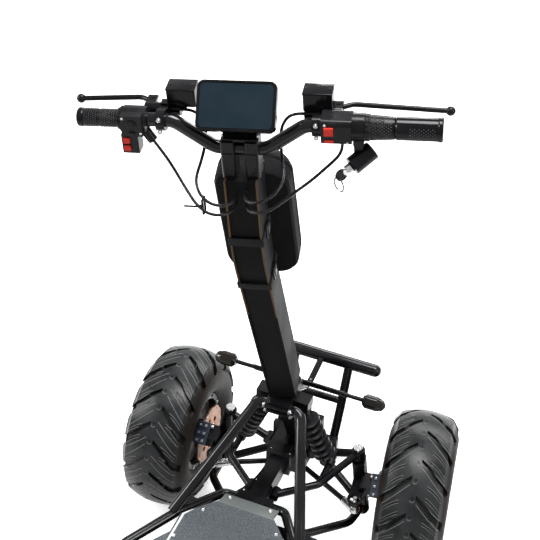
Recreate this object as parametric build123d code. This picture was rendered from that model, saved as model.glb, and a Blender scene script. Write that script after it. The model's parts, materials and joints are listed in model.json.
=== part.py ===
from build123d import *
import math
import os

# Four-wheel electric scooter, in millimetres. +X is the rider's right, +Y is forward, +Z is up.
# The origin is on the ground under the middle of the vehicle's box.

os.makedirs("parts", exist_ok=True)

# Wheels and tyres
TYRE_RADIUS = 180.0
TYRE_WIDTH = 146.0
CROWN_DROP = 11.0
CROWN_HALF_WIDTH = 56.0
SIDEWALL_RADIUS = 120.0
SHOULDER_EDGE = (69.0, 150.0)
GROOVE_DEPTH = 9.0
GROOVE_PITCHES = 15
# A groove's outline from near the middle to the shoulder: x, place along the tread, width along it
GROOVE = ((7.0, 6.0, 10.0), (26.0, -12.0, 14.0), (46.0, -36.0, 17.0), (80.0, -62.0, 20.0))
TYRE_WALL = 9.0
BEAD_RADIUS = 82.0
RIM_HALF_WIDTH = 56.0
RIM_WALL = 4.0
RIM_FLANGE = 6.0
WEB_OFFSET = 34.0
WEB_THICKNESS = 8.0
HUB_RADIUS = 27.0
HUB_OUTBOARD = 30.0
HUB_INBOARD = 68.0
AXLE_RADIUS = 10.0
AXLE_NUT_RADIUS = 14.0
AXLE_NUT_LENGTH = 10.0
RUNNING_FIT = 0.05
SEAT_GAP = 0.3
WHEEL_BOLT_CIRCLE = 62.0
WHEEL_BOLTS = 8
DISC_RADIUS = 66.0
DISC_THICKNESS = 4.0
DISC_INBOARD = HUB_INBOARD + SEAT_GAP + DISC_THICKNESS / 2
DISC_WAVES = 12
DISC_SCALLOP = 12.0
DISC_WAVE_DEPTH = 2.5
DISC_HOLE = 2.6
CALIPER_TILT = 42.0

# Places of the wheels
WHEELBASE = 900.0
FRONT_TRACK = 552.0
REAR_TRACK = 600.0

# Kingpins, given for the right side, measured from the front axle
KINGPIN_SETBACK = 12.0
UPPER_BALL_X = 148.0
UPPER_BALL_Z = 283.0
LOWER_BALL_X = 167.0
LOWER_BALL_Z = 125.0

# The pose in which the vehicle stands: the bar is turned to the left and the wheels toe in
BAR_TURN = 14.0
STEER_RATIO = 0.4
TOE_IN = 4.0
LEFT_WHEEL_TURN = BAR_TURN * STEER_RATIO - TOE_IN
RIGHT_WHEEL_TURN = BAR_TURN * STEER_RATIO + TOE_IN


def turned(point, pivot, direction, degrees):
    """A point turned about a line, by the right-hand rule."""
    length = math.sqrt(sum(c * c for c in direction))
    k = [c / length for c in direction]
    v = [point[i] - pivot[i] for i in range(3)]
    cross = [k[1] * v[2] - k[2] * v[1], k[2] * v[0] - k[0] * v[2], k[0] * v[1] - k[1] * v[0]]
    dot = sum(k[i] * v[i] for i in range(3))
    c, s = math.cos(math.radians(degrees)), math.sin(math.radians(degrees))
    return tuple(pivot[i] + v[i] * c + cross[i] * s + k[i] * dot * (1 - c) for i in range(3))


# The front axle's place is such that the tyres reach as far forward as they do backward
CROWN_RADIUS = (CROWN_HALF_WIDTH**2 + CROWN_DROP**2) / (2 * CROWN_DROP)
KINGPIN = (UPPER_BALL_X - LOWER_BALL_X, 0.0, UPPER_BALL_Z - LOWER_BALL_Z)
right_hub = turned(
    (FRONT_TRACK / 2, 0.0, TYRE_RADIUS),
    (LOWER_BALL_X, -KINGPIN_SETBACK, LOWER_BALL_Z),
    KINGPIN,
    RIGHT_WHEEL_TURN,
)
turn = math.radians(RIGHT_WHEEL_TURN)
front_reach = right_hub[1] + (TYRE_RADIUS - CROWN_RADIUS) * math.cos(turn) + CROWN_RADIUS
FRONT_AXLE_Y = (WHEELBASE + TYRE_RADIUS - front_reach) / 2
REAR_AXLE_Y = FRONT_AXLE_Y - WHEELBASE
KINGPIN_Y = FRONT_AXLE_Y - KINGPIN_SETBACK
LOWER_BALL = (LOWER_BALL_X, KINGPIN_Y, LOWER_BALL_Z)
UPPER_BALL = (UPPER_BALL_X, KINGPIN_Y, UPPER_BALL_Z)

# Steering axis: it leans back, and its base is where the shaft enters the steering head
RAKE = 20.0
AXIS_BASE = (0.0, FRONT_AXLE_Y + 2.0, 278.0)
AXIS_UP = (0.0, -math.sin(math.radians(RAKE)), math.cos(math.radians(RAKE)))
AXIS_FORWARD = (0.0, math.cos(math.radians(RAKE)), math.sin(math.radians(RAKE)))


def on_axis(along, forward=0.0, right=0.0):
    """A point by its distance along the steering axis, in front of it and to its right."""
    return (
        right,
        AXIS_BASE[1] + along * AXIS_UP[1] + forward * AXIS_FORWARD[1],
        AXIS_BASE[2] + along * AXIS_UP[2] + forward * AXIS_FORWARD[2],
    )


# Steering shaft, head and arm, as distances along the steering axis
SHAFT_RADIUS = 12.0
HEAD_RADIUS = 20.0
HEAD_LOW = -72.0
HEAD_HIGH = 8.0
PITMAN_THICKNESS = 10.0
PITMAN_GAP = 6.0
PITMAN_LENGTH = 28.0
PITMAN_TIP_RADIUS = 11.0
PITMAN_PIN_RADIUS = 4.0
COLLAR_LOW = 178.0
COLLAR_HIGH = 214.0
JOURNAL_RADIUS = 20.0
COLLAR_HALF_WIDTH = 25.0
COLLAR_BACK = 46.0
COLLAR_FRONT = 30.0

# Column: a raked box between two side plates, which bends upright towards its top
COLUMN_HALF_WIDTH = 27.0
COLUMN_BACK = 30.0
COLUMN_FRONT = 36.0
COLUMN_GAP = 6.0
COLUMN_TOP_Z = 1128.0
COLUMN_TOP_BACK_Y = FRONT_AXLE_Y - 286.0
COLUMN_TOP_DEPTH = 66.0
COLUMN_BEND = 330.0
SIDE_PLATE = 3.0
FACE_INSET = 3.0
LOWER_COLUMN_TOP = 40.0
LOWER_COLUMN_BOTTOM_X = 30.0
LOWER_COLUMN_BOTTOM_Y = 34.0

# Knuckle arm and tie rod
KNUCKLE_ARM = 70.0
KNUCKLE_ARM_Z = 212.0
KNUCKLE_ARM_THICKNESS = 9.0
KNUCKLE_ARM_HOLE = 11.0
ARM_PIN_X = LOWER_BALL_X - (KNUCKLE_ARM_Z - LOWER_BALL_Z) * (LOWER_BALL_X - UPPER_BALL_X) / (
    UPPER_BALL_Z - LOWER_BALL_Z
)
TIE_ROD_RADIUS = 6.0
TIE_ROD_Z = 190.0
TIE_ROD_STUD = 4.0
TIE_EYE_HALF = 9.5
TIE_EYE_RADIUS = 9.0
SLEEVE_RADIUS = 12.0
SLEEVE_LENGTH = 46.0
BALL_PIN_RADIUS = 6.0
BALL_RING_RADIUS = 14.0
BALL_RING_HEIGHT = 22.0
PIN_CLEARANCE = 0.3

# Frame tubes and plates
RAIL_RADIUS = 9.5
BRACE_RADIUS = 11.0
ARM_RADIUS = 10.0
BUMPER_RADIUS = 14.0
BUMPER_HALF_LENGTH = 134.0
POST_RADIUS = 10.0
STRUT_RADIUS = 7.0
STRUT_FORWARD = 42.0
STALK_RADIUS = 4.5
MAIN_RAIL_X = 112.0
MAIN_RAIL_WIDTH = 30.0
MAIN_RAIL_HEIGHT = 40.0
MAIN_RAIL_Z = 200.0
SPINE_WIDTH = 34.0
SPINE_HIGH = 297.0
SPINE_LOW = 257.0
SPINE_FRONT = 60.0
CLAMP_BACK = 232.0
CLAMP_THICKNESS = 20.0
FRONT_CROSS_DEPTH = 30.0

# Deck and battery
DECK_TOP_Z = 312.0
DECK_SHEET = 4.0
DECK_FRONT = 234.0
DECK_FOLD = 264.0
DECK_LIP_DROP = 12.0
DECK_NOSE_HALF_WIDTH = 58.0
DECK_HALF_WIDTH = 114.0
DECK_SHOULDER = 324.0
DECK_REAR = 700.0
FLAP_HALF_WIDTH = 168.0
FLAP_DROP = 12.0
BOX_LOW = 190.0
BOX_FRONT = 322.0
BOX_REAR = 684.0
BOX_WALL = 3.0
BATTERY_SIZE = (196.0, 330.0, 84.0)

# Handlebar, given before it is turned
BAR_RADIUS = 11.1
BAR_CLAMP_Z = 1174.0
BAR_CLAMP_Y = FRONT_AXLE_Y - 256.0
BAR_RISE = 46.0
BAR_BEND_IN = 41.0
BAR_BEND_OUT = 104.0
BAR_LEFT_END = 250.0
BAR_RIGHT_END = 306.0
BAR_BEND_RADIUS = 32.0
GRIP_Z = BAR_CLAMP_Z + BAR_RISE
CLAMP_TOWER_X = 19.0
CLAMP_TOP = BAR_CLAMP_Z + 20.0
GRIP_BORE = BAR_RADIUS + SEAT_GAP

# Grips and housings on the bar, as start, end and radius along it
LEFT_GRIP = (-257.0, -187.0, 14.0)
LEFT_HOUSING = (-186.7, -145.0, 20.0)
RIGHT_HOUSING = (129.5, 176.0, 22.0)
THROTTLE = (195.5, 240.0, 21.0, 17.5)
RIGHT_GRIP = (240.5, 313.0, 18.0)

# Brake masters, with the reservoirs above them, and their levers
MASTER_CLAMP_X = 122.0
MASTER_CLAMP_WIDTH = 14.0
RESERVOIR_X = {-1: -94.0, 1: 120.0}
RESERVOIR = (46.0, 32.0, 28.0)
LEVER_END = {-1: -268.0, 1: 320.0}
LEVER_BALL = 7.5

# Display and key lock
DISPLAY_SIZE = (124.0, 78.0, 14.0)
DISPLAY_CORNER = 11.0
DISPLAY_CENTRE = (0.0, BAR_CLAMP_Y - 10.0, 1256.0)
DISPLAY_TILT = 50.0
SCREEN_MARGIN = 5.0
LOCK_CENTRE = (190.0, BAR_CLAMP_Y - 8.0, GRIP_Z - 51.0)
LOCK_AXIS = (-0.72, -0.55, -0.42)
LOCK_RADIUS = 15.0
LOCK_LENGTH = 40.0

# Bag in front of the column, and the straps around the column: height, place and lean of each
BAG_BACK_TOP = (COLUMN_TOP_BACK_Y + COLUMN_TOP_DEPTH + SEAT_GAP, 1104.0)
BAG_BACK_LOW = (FRONT_AXLE_Y - 167.2, 852.0)
BAG_HALF_WIDTH = 64.0
BAG_DEPTH = 86.0
STRAP_PLACES = ((1012.0, FRONT_AXLE_Y - 250.0, 5.0), (902.0, FRONT_AXLE_Y - 222.0, RAKE))
STRAP_WIDTH = 16.0
STRAP_THICKNESS = 2.0

# Steering bulkhead, as distances ahead of or behind the front axle and heights
BULKHEAD_HALF_WIDTH = 40.0
BULKHEAD_REAR = 60.0
BULKHEAD_FRONT = 25.0
BULKHEAD_LOW = 216.0
BULKHEAD_HIGH = 270.0
FRONT_PLATE_NEAR = 60.0
FRONT_PLATE_FAR = 72.0
FRONT_PLATE_HALF_WIDTH = 75.0
FRONT_PLATE_LOW = 148.0
FRONT_PLATE_HIGH = 215.0

# Suspension arms: the barrels at their inner ends, given for the right side from the front axle
BARREL_RADIUS = 9.7
BARREL_LENGTH = 25.0
UPPER_FRONT_BARREL = (BULKHEAD_HALF_WIDTH + SEAT_GAP + BARREL_RADIUS, -25.0, 259.0)
UPPER_REAR_BARREL = (SPINE_WIDTH / 2 + SEAT_GAP + BARREL_RADIUS, -178.0, 277.0)
LOWER_FRONT_BARREL = (56.0, FRONT_PLATE_NEAR - SEAT_GAP - BARREL_LENGTH / 2, 162.0)
LOWER_REAR_BARREL = (26.0, -CLAMP_BACK + CLAMP_THICKNESS + SEAT_GAP + BARREL_LENGTH / 2, 172.0)
SHOCK_TUBE_X = 100.0
SHOCK_TUBE_RADIUS = 7.0

# Shocks: their eyes, given for the right side from the front axle
FRONT_SHOCK_TOP = (44.0, -72.0, 425.0)
FRONT_SHOCK_BOTTOM = (SHOCK_TUBE_X, -58.0, 278.0)
REAR_SHOCK_TOP = (169.0, -790.0, 345.0)
REAR_SHOCK_BOTTOM = (169.0, -868.0, 222.0)
SPRING_OUTER = 22.0
SPRING_INNER = 14.6
SPRING_START = 27.0
SPRING_STOP = 120.0
SPRING_TURNS = 5
CUP_RADIUS = 23.0
CUP_THICKNESS = 5.0
SHOCK_BODY_RADIUS = 13.0
SHOCK_ROD_RADIUS = 6.0
EYE_PIN_RADIUS = 5.0
EYE_RADIUS = 11.0
EYE_LENGTH = 16.0

# Cables: the points of each route from the front axle, before the bar is turned
CABLE_RADIUS = 2.5
COLUMN_REAR_FACE = -286.3
CABLE_ROUTES = {
    "cable_left_switch": (
        (-139.3, -260.0, 1184.4), (-124.3, -260.0, 1158.4), (-107.0, -271.0, 1136.0),
        (-88.0, -292.0, 1119.0), (-68.7, -313.4, 1105.0), (-52.3, -324.9, 1098.0),
        (-38.5, -327.3, 1094.0), (-25.1, -323.2, 1091.0), (-15.2, -313.3, 1089.0),
        (-10.0, -300.3, 1088.0), (-10.0, COLUMN_REAR_FACE, 1088.0),
    ),
    "hose_left_brake": (
        (-97.7, -224.0, 1220.0), (-82.0, -224.0, 1220.0), (-68.0, -227.0, 1212.0),
        (-60.0, -232.0, 1195.0), (-60.0, -240.0, 1174.0), (-64.0, -258.0, 1153.0),
        (-70.8, -287.7, 1134.0), (-64.6, -304.6, 1124.0), (-53.9, -316.5, 1116.5),
        (-39.3, -323.0, 1111.0), (-25.4, -321.1, 1107.5), (-14.1, -312.9, 1105.0),
        (-8.0, -300.3, 1104.0), (-8.0, COLUMN_REAR_FACE, 1104.0),
    ),
    "cable_right_switch": (
        (160.0, -260.0, 1198.0), (160.0, -260.0, 1184.0), (154.0, -263.0, 1170.0),
        (138.0, -270.0, 1156.0), (114.0, -284.0, 1138.0), (90.0, -297.0, 1124.0),
        (68.7, -313.4, 1113.0), (52.3, -324.9, 1106.0), (38.5, -327.3, 1102.0),
        (25.1, -323.2, 1099.0), (15.2, -313.3, 1097.0), (10.0, -300.3, 1096.0),
        (10.0, COLUMN_REAR_FACE, 1096.0),
    ),
    "hose_right_brake": (
        (97.7, -224.0, 1220.0), (82.0, -224.0, 1220.0), (68.0, -227.0, 1212.0),
        (60.0, -232.0, 1195.0), (60.0, -240.0, 1175.0), (64.0, -258.0, 1156.0),
        (70.8, -287.7, 1142.0), (64.6, -304.6, 1132.5), (53.9, -316.5, 1125.0),
        (39.3, -323.0, 1119.5), (25.4, -321.1, 1115.5), (14.1, -312.9, 1113.0),
        (8.0, -300.3, 1112.0), (8.0, COLUMN_REAR_FACE, 1112.0),
    ),
    "cable_spine_frame": (
        (-30.0, -60.3, 246.0), (-30.0, -84.0, 246.0), (-35.0, -118.0, 241.0),
        (-47.0, -154.0, 240.0), (-60.0, -188.0, 249.0), (-67.0, -224.0, 264.0),
        (-65.0, -262.0, 270.0), (-60.0, -292.0, 268.0), (-60.0, -321.7, 268.0),
    ),
}

# Rear end
REAR_PIVOT_Y = -705.0
REAR_PIVOT_Z = 220.0
REAR_PIVOT_RADIUS = 12.0
REAR_PIVOT_REACH = 198.0
REAR_ARM_X = (155.0, 183.0)
REAR_ARM_HEIGHT = 36.0
RAIL_REAR = 720.0
RAIL_REAR_CROSS = 690.0


def node(name, *solids):
    """Write one node: its solids don't touch each other."""
    export_step(Compound(children=list(solids)) if len(solids) > 1 else solids[0], f"parts/{name}.step")


def both(shape):
    """A shape and its mirror image on the other side."""
    return [shape, mirror(shape, about=Plane.YZ)]


def rod(start, end, radius):
    """A round bar between two points."""
    span = Vector(*end) - Vector(*start)
    plane = Plane(origin=start, z_dir=span)
    return plane * Cylinder(radius, span.length, align=(Align.CENTER, Align.CENTER, Align.MIN))


def tapered(start, end, radius_a, radius_b):
    """A cone between two points."""
    span = Vector(*end) - Vector(*start)
    plane = Plane(origin=start, z_dir=span)
    return plane * Cone(radius_a, radius_b, span.length, align=(Align.CENTER, Align.CENTER, Align.MIN))


def bent_tube(points, radius, bend):
    """A round tube along straight runs that are joined by arcs."""
    path = FilletPolyline(*points, radius=bend)
    return sweep(Plane(origin=path @ 0, z_dir=path % 0) * Circle(radius), path=path)


def block(x, y, z):
    """A box from its lowest and highest x, y and z."""
    size = (x[1] - x[0], y[1] - y[0], z[1] - z[0])
    return Pos((x[0] + x[1]) / 2, (y[0] + y[1]) / 2, (z[0] + z[1]) / 2) * Box(*size)


def behind(distance):
    """A place behind the front axle."""
    return FRONT_AXLE_Y - distance


def spot(x, y, z):
    """A point whose place along Y is given from the front axle."""
    return (x, FRONT_AXLE_Y + y, z)


def slab(x, y, z):
    """A box whose places along Y are given from the front axle."""
    return block(x, (FRONT_AXLE_Y + y[0], FRONT_AXLE_Y + y[1]), z)


def steered(shape):
    """A piece of the steering, turned to where the bar stands."""
    return shape.rotate(Axis(AXIS_BASE, AXIS_UP), BAR_TURN)


def about_x(profile_plane, face):
    """A solid turned about the wheel's own axis."""
    return revolve(profile_plane * face, axis=Axis.X)


# Wheel pieces are made about the X axis, with their outboard side towards +X


def make_tyre():
    """A hollow tyre whose tread is parted into lugs by V grooves that run out at its shoulders."""
    shoulder = TYRE_RADIUS - CROWN_DROP
    half = TYRE_WIDTH / 2
    edge, edge_radius = SHOULDER_EDGE
    bead_x = RIM_HALF_WIDTH - RIM_WALL
    bead_top = BEAD_RADIUS + RIM_FLANGE + 1
    inner_half = half - TYRE_WALL
    inner_x = CROWN_HALF_WIDTH - TYRE_WALL
    inner_shoulder = shoulder - GROOVE_DEPTH - TYRE_WALL
    crown = ThreePointArc((-CROWN_HALF_WIDTH, shoulder), (0, TYRE_RADIUS), (CROWN_HALF_WIDTH, shoulder))
    right = Polyline((CROWN_HALF_WIDTH, shoulder), (edge, edge_radius), (edge - 4, edge_radius - 4))
    wall = ThreePointArc((edge - 4, edge_radius - 4), (half, SIDEWALL_RADIUS), (bead_x, bead_top))
    bead = Polyline(
        (bead_x, bead_top), (bead_x, BEAD_RADIUS), (bead_x - TYRE_WALL, BEAD_RADIUS),
        (bead_x - TYRE_WALL, bead_top),
    )
    lining = ThreePointArc((bead_x - TYRE_WALL, bead_top), (inner_half, SIDEWALL_RADIUS), (inner_x, inner_shoulder))
    inside = ThreePointArc(
        (inner_x, inner_shoulder), (0, TYRE_RADIUS - GROOVE_DEPTH - TYRE_WALL), (-inner_x, inner_shoulder)
    )
    others = [mirror(piece, about=Plane.YZ) for piece in (lining, bead, wall, right)]
    tyre = about_x(Plane.XZ, make_face(Curve() + [crown, right, wall, bead, lining, inside, *others]))
    floor_edge = edge - 9
    floor = ThreePointArc(
        (-CROWN_HALF_WIDTH, shoulder - GROOVE_DEPTH), (0, TYRE_RADIUS - GROOVE_DEPTH),
        (CROWN_HALF_WIDTH, shoulder - GROOVE_DEPTH),
    )
    sides = Polyline(
        (CROWN_HALF_WIDTH, shoulder - GROOVE_DEPTH), (floor_edge, edge_radius - 4), (floor_edge, 40),
        (-floor_edge, 40), (-floor_edge, edge_radius - 4), (-CROWN_HALF_WIDTH, shoulder - GROOVE_DEPTH),
    )
    core = about_x(Plane.XZ, make_face(Curve() + [floor, sides]))
    outline = [(x, along) for x, along, _ in GROOVE] + [(x, along + wide) for x, along, wide in reversed(GROOVE)]
    groove = Pos(0, 0, edge_radius - 12) * extrude(make_face(Polyline(*outline, close=True)), 60) - core
    other = Rot(180 / GROOVE_PITCHES, 0, 0) * mirror(groove, about=Plane.YZ)
    for step in range(GROOVE_PITCHES):
        turn_by = Rot(step * 360 / GROOVE_PITCHES, 0, 0)
        tyre = tyre - [turn_by * groove, turn_by * other]
    return tyre


def make_rim(web_x):
    """A rim whose web stands at web_x, with its bolt ring, hub and bore."""
    lip = BEAD_RADIUS + RIM_FLANGE
    seat = BEAD_RADIUS - SEAT_GAP
    inner = seat - RIM_WALL
    drop = seat - 14
    half = RIM_HALF_WIDTH
    step = half - 18
    barrel = Polyline(
        (-half, lip), (-half + RIM_WALL - SEAT_GAP, lip), (-half + RIM_WALL - SEAT_GAP, seat),
        (-step, seat), (-step + 8, drop), (step - 8, drop), (step, seat),
        (half - RIM_WALL + SEAT_GAP, seat), (half - RIM_WALL + SEAT_GAP, lip), (half, lip),
        (half, inner), (step, inner), (step - 8, drop - RIM_WALL),
        (-step + 8, drop - RIM_WALL), (-step, inner), (-half, inner),
        close=True,
    )
    rim = about_x(Plane.XZ, make_face(barrel))
    web = Pos(web_x, 0, 0) * Rot(0, 90, 0) * Cylinder(drop - 1, WEB_THICKNESS)
    hub_low = -HUB_INBOARD
    hub_length = HUB_OUTBOARD - hub_low
    hub = Pos((HUB_OUTBOARD + hub_low) / 2, 0, 0) * Rot(0, 90, 0) * Cylinder(HUB_RADIUS, hub_length)
    rim = rim + web + hub
    windows = [
        Pos(web_x, 0, 0) * Rot(angle, 0, 0) * Pos(0, 0, 46) * Rot(0, 90, 0) * Cylinder(9, WEB_THICKNESS * 3)
        for angle in range(0, 360, 60)
    ]
    bore = Rot(0, 90, 0) * Cylinder(AXLE_RADIUS + RUNNING_FIT, 400)
    return rim - windows - bore


def make_motor_rim():
    """The rear rim, filled by the flat case of the motor in its hub."""
    rim = make_rim(-WEB_OFFSET)
    case = Rot(0, 90, 0) * Cylinder(BEAD_RADIUS - 16, 2 * WEB_OFFSET)
    cover = Pos(WEB_OFFSET + 3, 0, 0) * Rot(0, 90, 0) * Cone(62, 54, 6)
    bore = Rot(0, 90, 0) * Cylinder(AXLE_RADIUS + RUNNING_FIT, 400)
    return rim + case + cover - bore


def make_disc():
    """A brake disc with windows, bolted to the inboard end of the hub."""
    disc = Rot(0, 90, 0) * Cylinder(DISC_RADIUS, DISC_THICKNESS)
    disc -= Rot(0, 90, 0) * Cylinder(AXLE_RADIUS + 6, 20)
    for angle in range(0, 360, 60):
        disc -= Rot(angle, 0, 0) * Pos(0, 0, 36) * Box(20, 16, 10)
    pitch = 360 / DISC_WAVES
    for wave in range(DISC_WAVES):
        turned = Rot(wave * pitch, 0, 0)
        disc -= turned * Pos(0, 0, DISC_RADIUS + DISC_SCALLOP - DISC_WAVE_DEPTH) * Rot(0, 90, 0) * Cylinder(
            DISC_SCALLOP, 20
        )
        disc -= turned * Rot(pitch / 2, 0, 0) * Pos(0, 0, DISC_RADIUS - 7) * Rot(0, 90, 0) * Cylinder(
            DISC_HOLE, 20
        )
    return disc


def front_corner(shape, side):
    """Put a piece made for the right wheel's centre at a front corner, turned as it stands."""
    if side < 0:
        shape = mirror(shape, about=Plane.YZ)
    shape = Pos(side * FRONT_TRACK / 2, FRONT_AXLE_Y, TYRE_RADIUS) * shape
    return knuckle_turned(shape, side)


def knuckle_turned(shape, side):
    pivot = (side * LOWER_BALL[0], LOWER_BALL[1], LOWER_BALL[2])
    direction = (side * KINGPIN[0], KINGPIN[1], KINGPIN[2])
    angle = RIGHT_WHEEL_TURN if side > 0 else LEFT_WHEEL_TURN
    return shape.rotate(Axis(pivot, direction), angle)


def rear_corner(shape, side):
    if side < 0:
        shape = mirror(shape, about=Plane.YZ)
    return Pos(side * REAR_TRACK / 2, REAR_AXLE_Y, TYRE_RADIUS) * shape


def make_knuckle():
    """The right upright in its straight-ahead place: pins, body, stub axle and steering arm."""
    up = Plane(origin=LOWER_BALL, z_dir=KINGPIN, x_dir=(0, 1, 0))
    height = math.sqrt(KINGPIN[0] ** 2 + KINGPIN[2] ** 2)
    ring = BALL_RING_HEIGHT / 2
    pin_reach = ring + 6
    pin = up * Pos(0, 0, height / 2) * Cylinder(BALL_PIN_RADIUS, height + 2 * pin_reach)
    low = ring + 7
    high = height - ring - 7
    body_length = high - low
    body = up * Pos(0, 0, (low + high) / 2) * Box(34, 26, body_length)
    body = fillet(body.edges().filter_by(Axis(LOWER_BALL, KINGPIN)), 5)
    ends = [
        up * Pos(0, 0, place) * Cylinder(BALL_PIN_RADIUS + 4, 7)
        for place in (-ring - 3.8 - SEAT_GAP, height + ring + 3.8 + SEAT_GAP)
    ]
    axle_start = LOWER_BALL_X - 10
    axle_end = FRONT_TRACK / 2 + HUB_OUTBOARD + 2
    axle = rod(
        (axle_start, FRONT_AXLE_Y, TYRE_RADIUS), (axle_end, FRONT_AXLE_Y, TYRE_RADIUS), AXLE_RADIUS
    )
    shoulder_end = FRONT_TRACK / 2 - HUB_INBOARD - DISC_THICKNESS - 1.5
    shoulder = rod(
        (axle_start, FRONT_AXLE_Y, TYRE_RADIUS), (shoulder_end, FRONT_AXLE_Y, TYRE_RADIUS), AXLE_RADIUS + 5
    )
    nut = rod(
        (axle_end, FRONT_AXLE_Y, TYRE_RADIUS),
        (axle_end + AXLE_NUT_LENGTH, FRONT_AXLE_Y, TYRE_RADIUS),
        AXLE_NUT_RADIUS,
    )
    eye = (ARM_PIN_X, KINGPIN_Y - KNUCKLE_ARM)
    arm_height = KNUCKLE_ARM_Z + KNUCKLE_ARM_THICKNESS / 2
    outline = Polyline(
        (ARM_PIN_X - 13, KINGPIN_Y - 2), (ARM_PIN_X + 13, KINGPIN_Y - 2),
        (eye[0] + 14, eye[1]), (eye[0] - 14, eye[1]), close=True,
    )
    arm = Pos(0, 0, KNUCKLE_ARM_Z) * extrude(make_face(outline), KNUCKLE_ARM_THICKNESS)
    arm += Pos(eye[0], eye[1], arm_height) * Cylinder(KNUCKLE_ARM_HOLE + 6, KNUCKLE_ARM_THICKNESS)
    arm -= Pos(eye[0], eye[1], arm_height) * Cylinder(KNUCKLE_ARM_HOLE, KNUCKLE_ARM_THICKNESS * 2)
    bracket_end = FRONT_TRACK / 2 - DISC_INBOARD - 22 - SEAT_GAP
    bracket = block(
        (ARM_PIN_X + 4, bracket_end), (KINGPIN_Y - 50, KINGPIN_Y - 6), (KNUCKLE_ARM_Z, KNUCKLE_ARM_Z + 24)
    )
    return body + pin + ends + axle + shoulder + nut + arm + bracket


def make_caliper():
    """A brake caliper over the disc's upper rear edge, with the bracket that carries it."""
    disc_x = FRONT_TRACK / 2 - DISC_INBOARD
    local = Pos(disc_x, FRONT_AXLE_Y, TYRE_RADIUS) * Rot(CALIPER_TILT, 0, 0)
    body = Pos(-7.5, 0, DISC_RADIUS) * Box(29, 50, 24)
    body -= Pos(0, 0, DISC_RADIUS - 13) * Box(DISC_THICKNESS + 3, 60, 34)
    fins = [Pos(-7.5, y, DISC_RADIUS + 13) * Box(25, 12, 4) for y in (-17, 0, 17)]
    return local * (body + fins)


tyre = make_tyre()
front_rim = make_rim(-WEB_OFFSET)
motor_rim = make_motor_rim()
disc = make_disc()
knuckle = make_knuckle()
caliper = make_caliper()
SIDES = (("left", -1), ("right", 1))
for side_name, side in SIDES:
    node(f"tyre_front_{side_name}", front_corner(tyre, side))
    node(f"rim_front_{side_name}", front_corner(front_rim, side))
    node(f"disc_{side_name}", front_corner(Pos(-DISC_INBOARD, 0, 0) * disc, side))
    node(f"tyre_rear_{side_name}", rear_corner(tyre, side))
    node(f"motor_rim_{side_name}", rear_corner(motor_rim, side))
    upright = knuckle if side > 0 else mirror(knuckle, about=Plane.YZ)
    node(f"knuckle_{side_name}", knuckle_turned(upright, side))
    grip_block = caliper if side > 0 else mirror(caliper, about=Plane.YZ)
    node(f"caliper_{side_name}", knuckle_turned(grip_block, side))

# Tie rods: both eyes hang one below the other on the pitman arm's pin, and each rod runs from
# there to a stud that stands in the knuckle arm's eye
for place, (side_name, side) in enumerate(SIDES):
    drop = PITMAN_THICKNESS / 2 + TIE_EYE_HALF + SEAT_GAP + place * (2 * TIE_EYE_HALF + SEAT_GAP)
    along = HEAD_LOW - PITMAN_GAP - PITMAN_THICKNESS / 2 - drop
    inner = turned(on_axis(along, -PITMAN_LENGTH), AXIS_BASE, AXIS_UP, BAR_TURN)
    pivot = (side * LOWER_BALL[0], LOWER_BALL[1], LOWER_BALL[2])
    direction = (side * KINGPIN[0], KINGPIN[1], KINGPIN[2])
    angle = RIGHT_WHEEL_TURN if side > 0 else LEFT_WHEEL_TURN
    outer = turned((side * ARM_PIN_X, KINGPIN_Y - KNUCKLE_ARM, TIE_ROD_Z), pivot, direction, angle)
    unit = (Vector(*outer) - Vector(*inner)).normalized()
    sleeve_start = Vector(*outer) - unit * (SLEEVE_LENGTH - 8)
    eye_plane = Plane(origin=inner, z_dir=AXIS_UP)
    tie_rod = rod(inner, tuple(sleeve_start), TIE_ROD_RADIUS)
    tie_rod += eye_plane * Cylinder(TIE_EYE_RADIUS, 2 * TIE_EYE_HALF)
    tie_rod += tapered(tuple(sleeve_start), outer, TIE_ROD_RADIUS + 2, SLEEVE_RADIUS)
    tie_rod += Pos(*outer) * Sphere(SLEEVE_RADIUS)
    stud_top = KNUCKLE_ARM_Z + KNUCKLE_ARM_THICKNESS + 5
    tie_rod += rod(outer, (outer[0], outer[1], stud_top), TIE_ROD_STUD)
    tie_rod -= eye_plane * Cylinder(PITMAN_PIN_RADIUS + PIN_CLEARANCE, 60)
    node(f"tie_rod_{side_name}", tie_rod)


def column_face(back, front, top_back_y, top_depth):
    """The column's side outline: raked from the collar, then upright to its top."""
    rake = math.radians(RAKE)
    start = COLLAR_HIGH + COLUMN_GAP
    back_corner = (AXIS_BASE[1] - back * math.cos(rake) - top_back_y) / math.sin(rake)
    front_y = top_back_y + top_depth
    front_corner_s = (AXIS_BASE[1] + front * math.cos(rake) - front_y) / math.sin(rake)
    points = [
        on_axis(start, -back)[1:],
        on_axis(back_corner, -back)[1:],
        (top_back_y, COLUMN_TOP_Z),
        (front_y, COLUMN_TOP_Z),
        on_axis(front_corner_s, front)[1:],
        on_axis(start, front)[1:],
    ]
    face = make_face(Polyline(*points, close=True))
    corners = [v for v in face.vertices() if 950 < v.Y < 1020]
    return fillet(corners, COLUMN_BEND)


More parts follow.
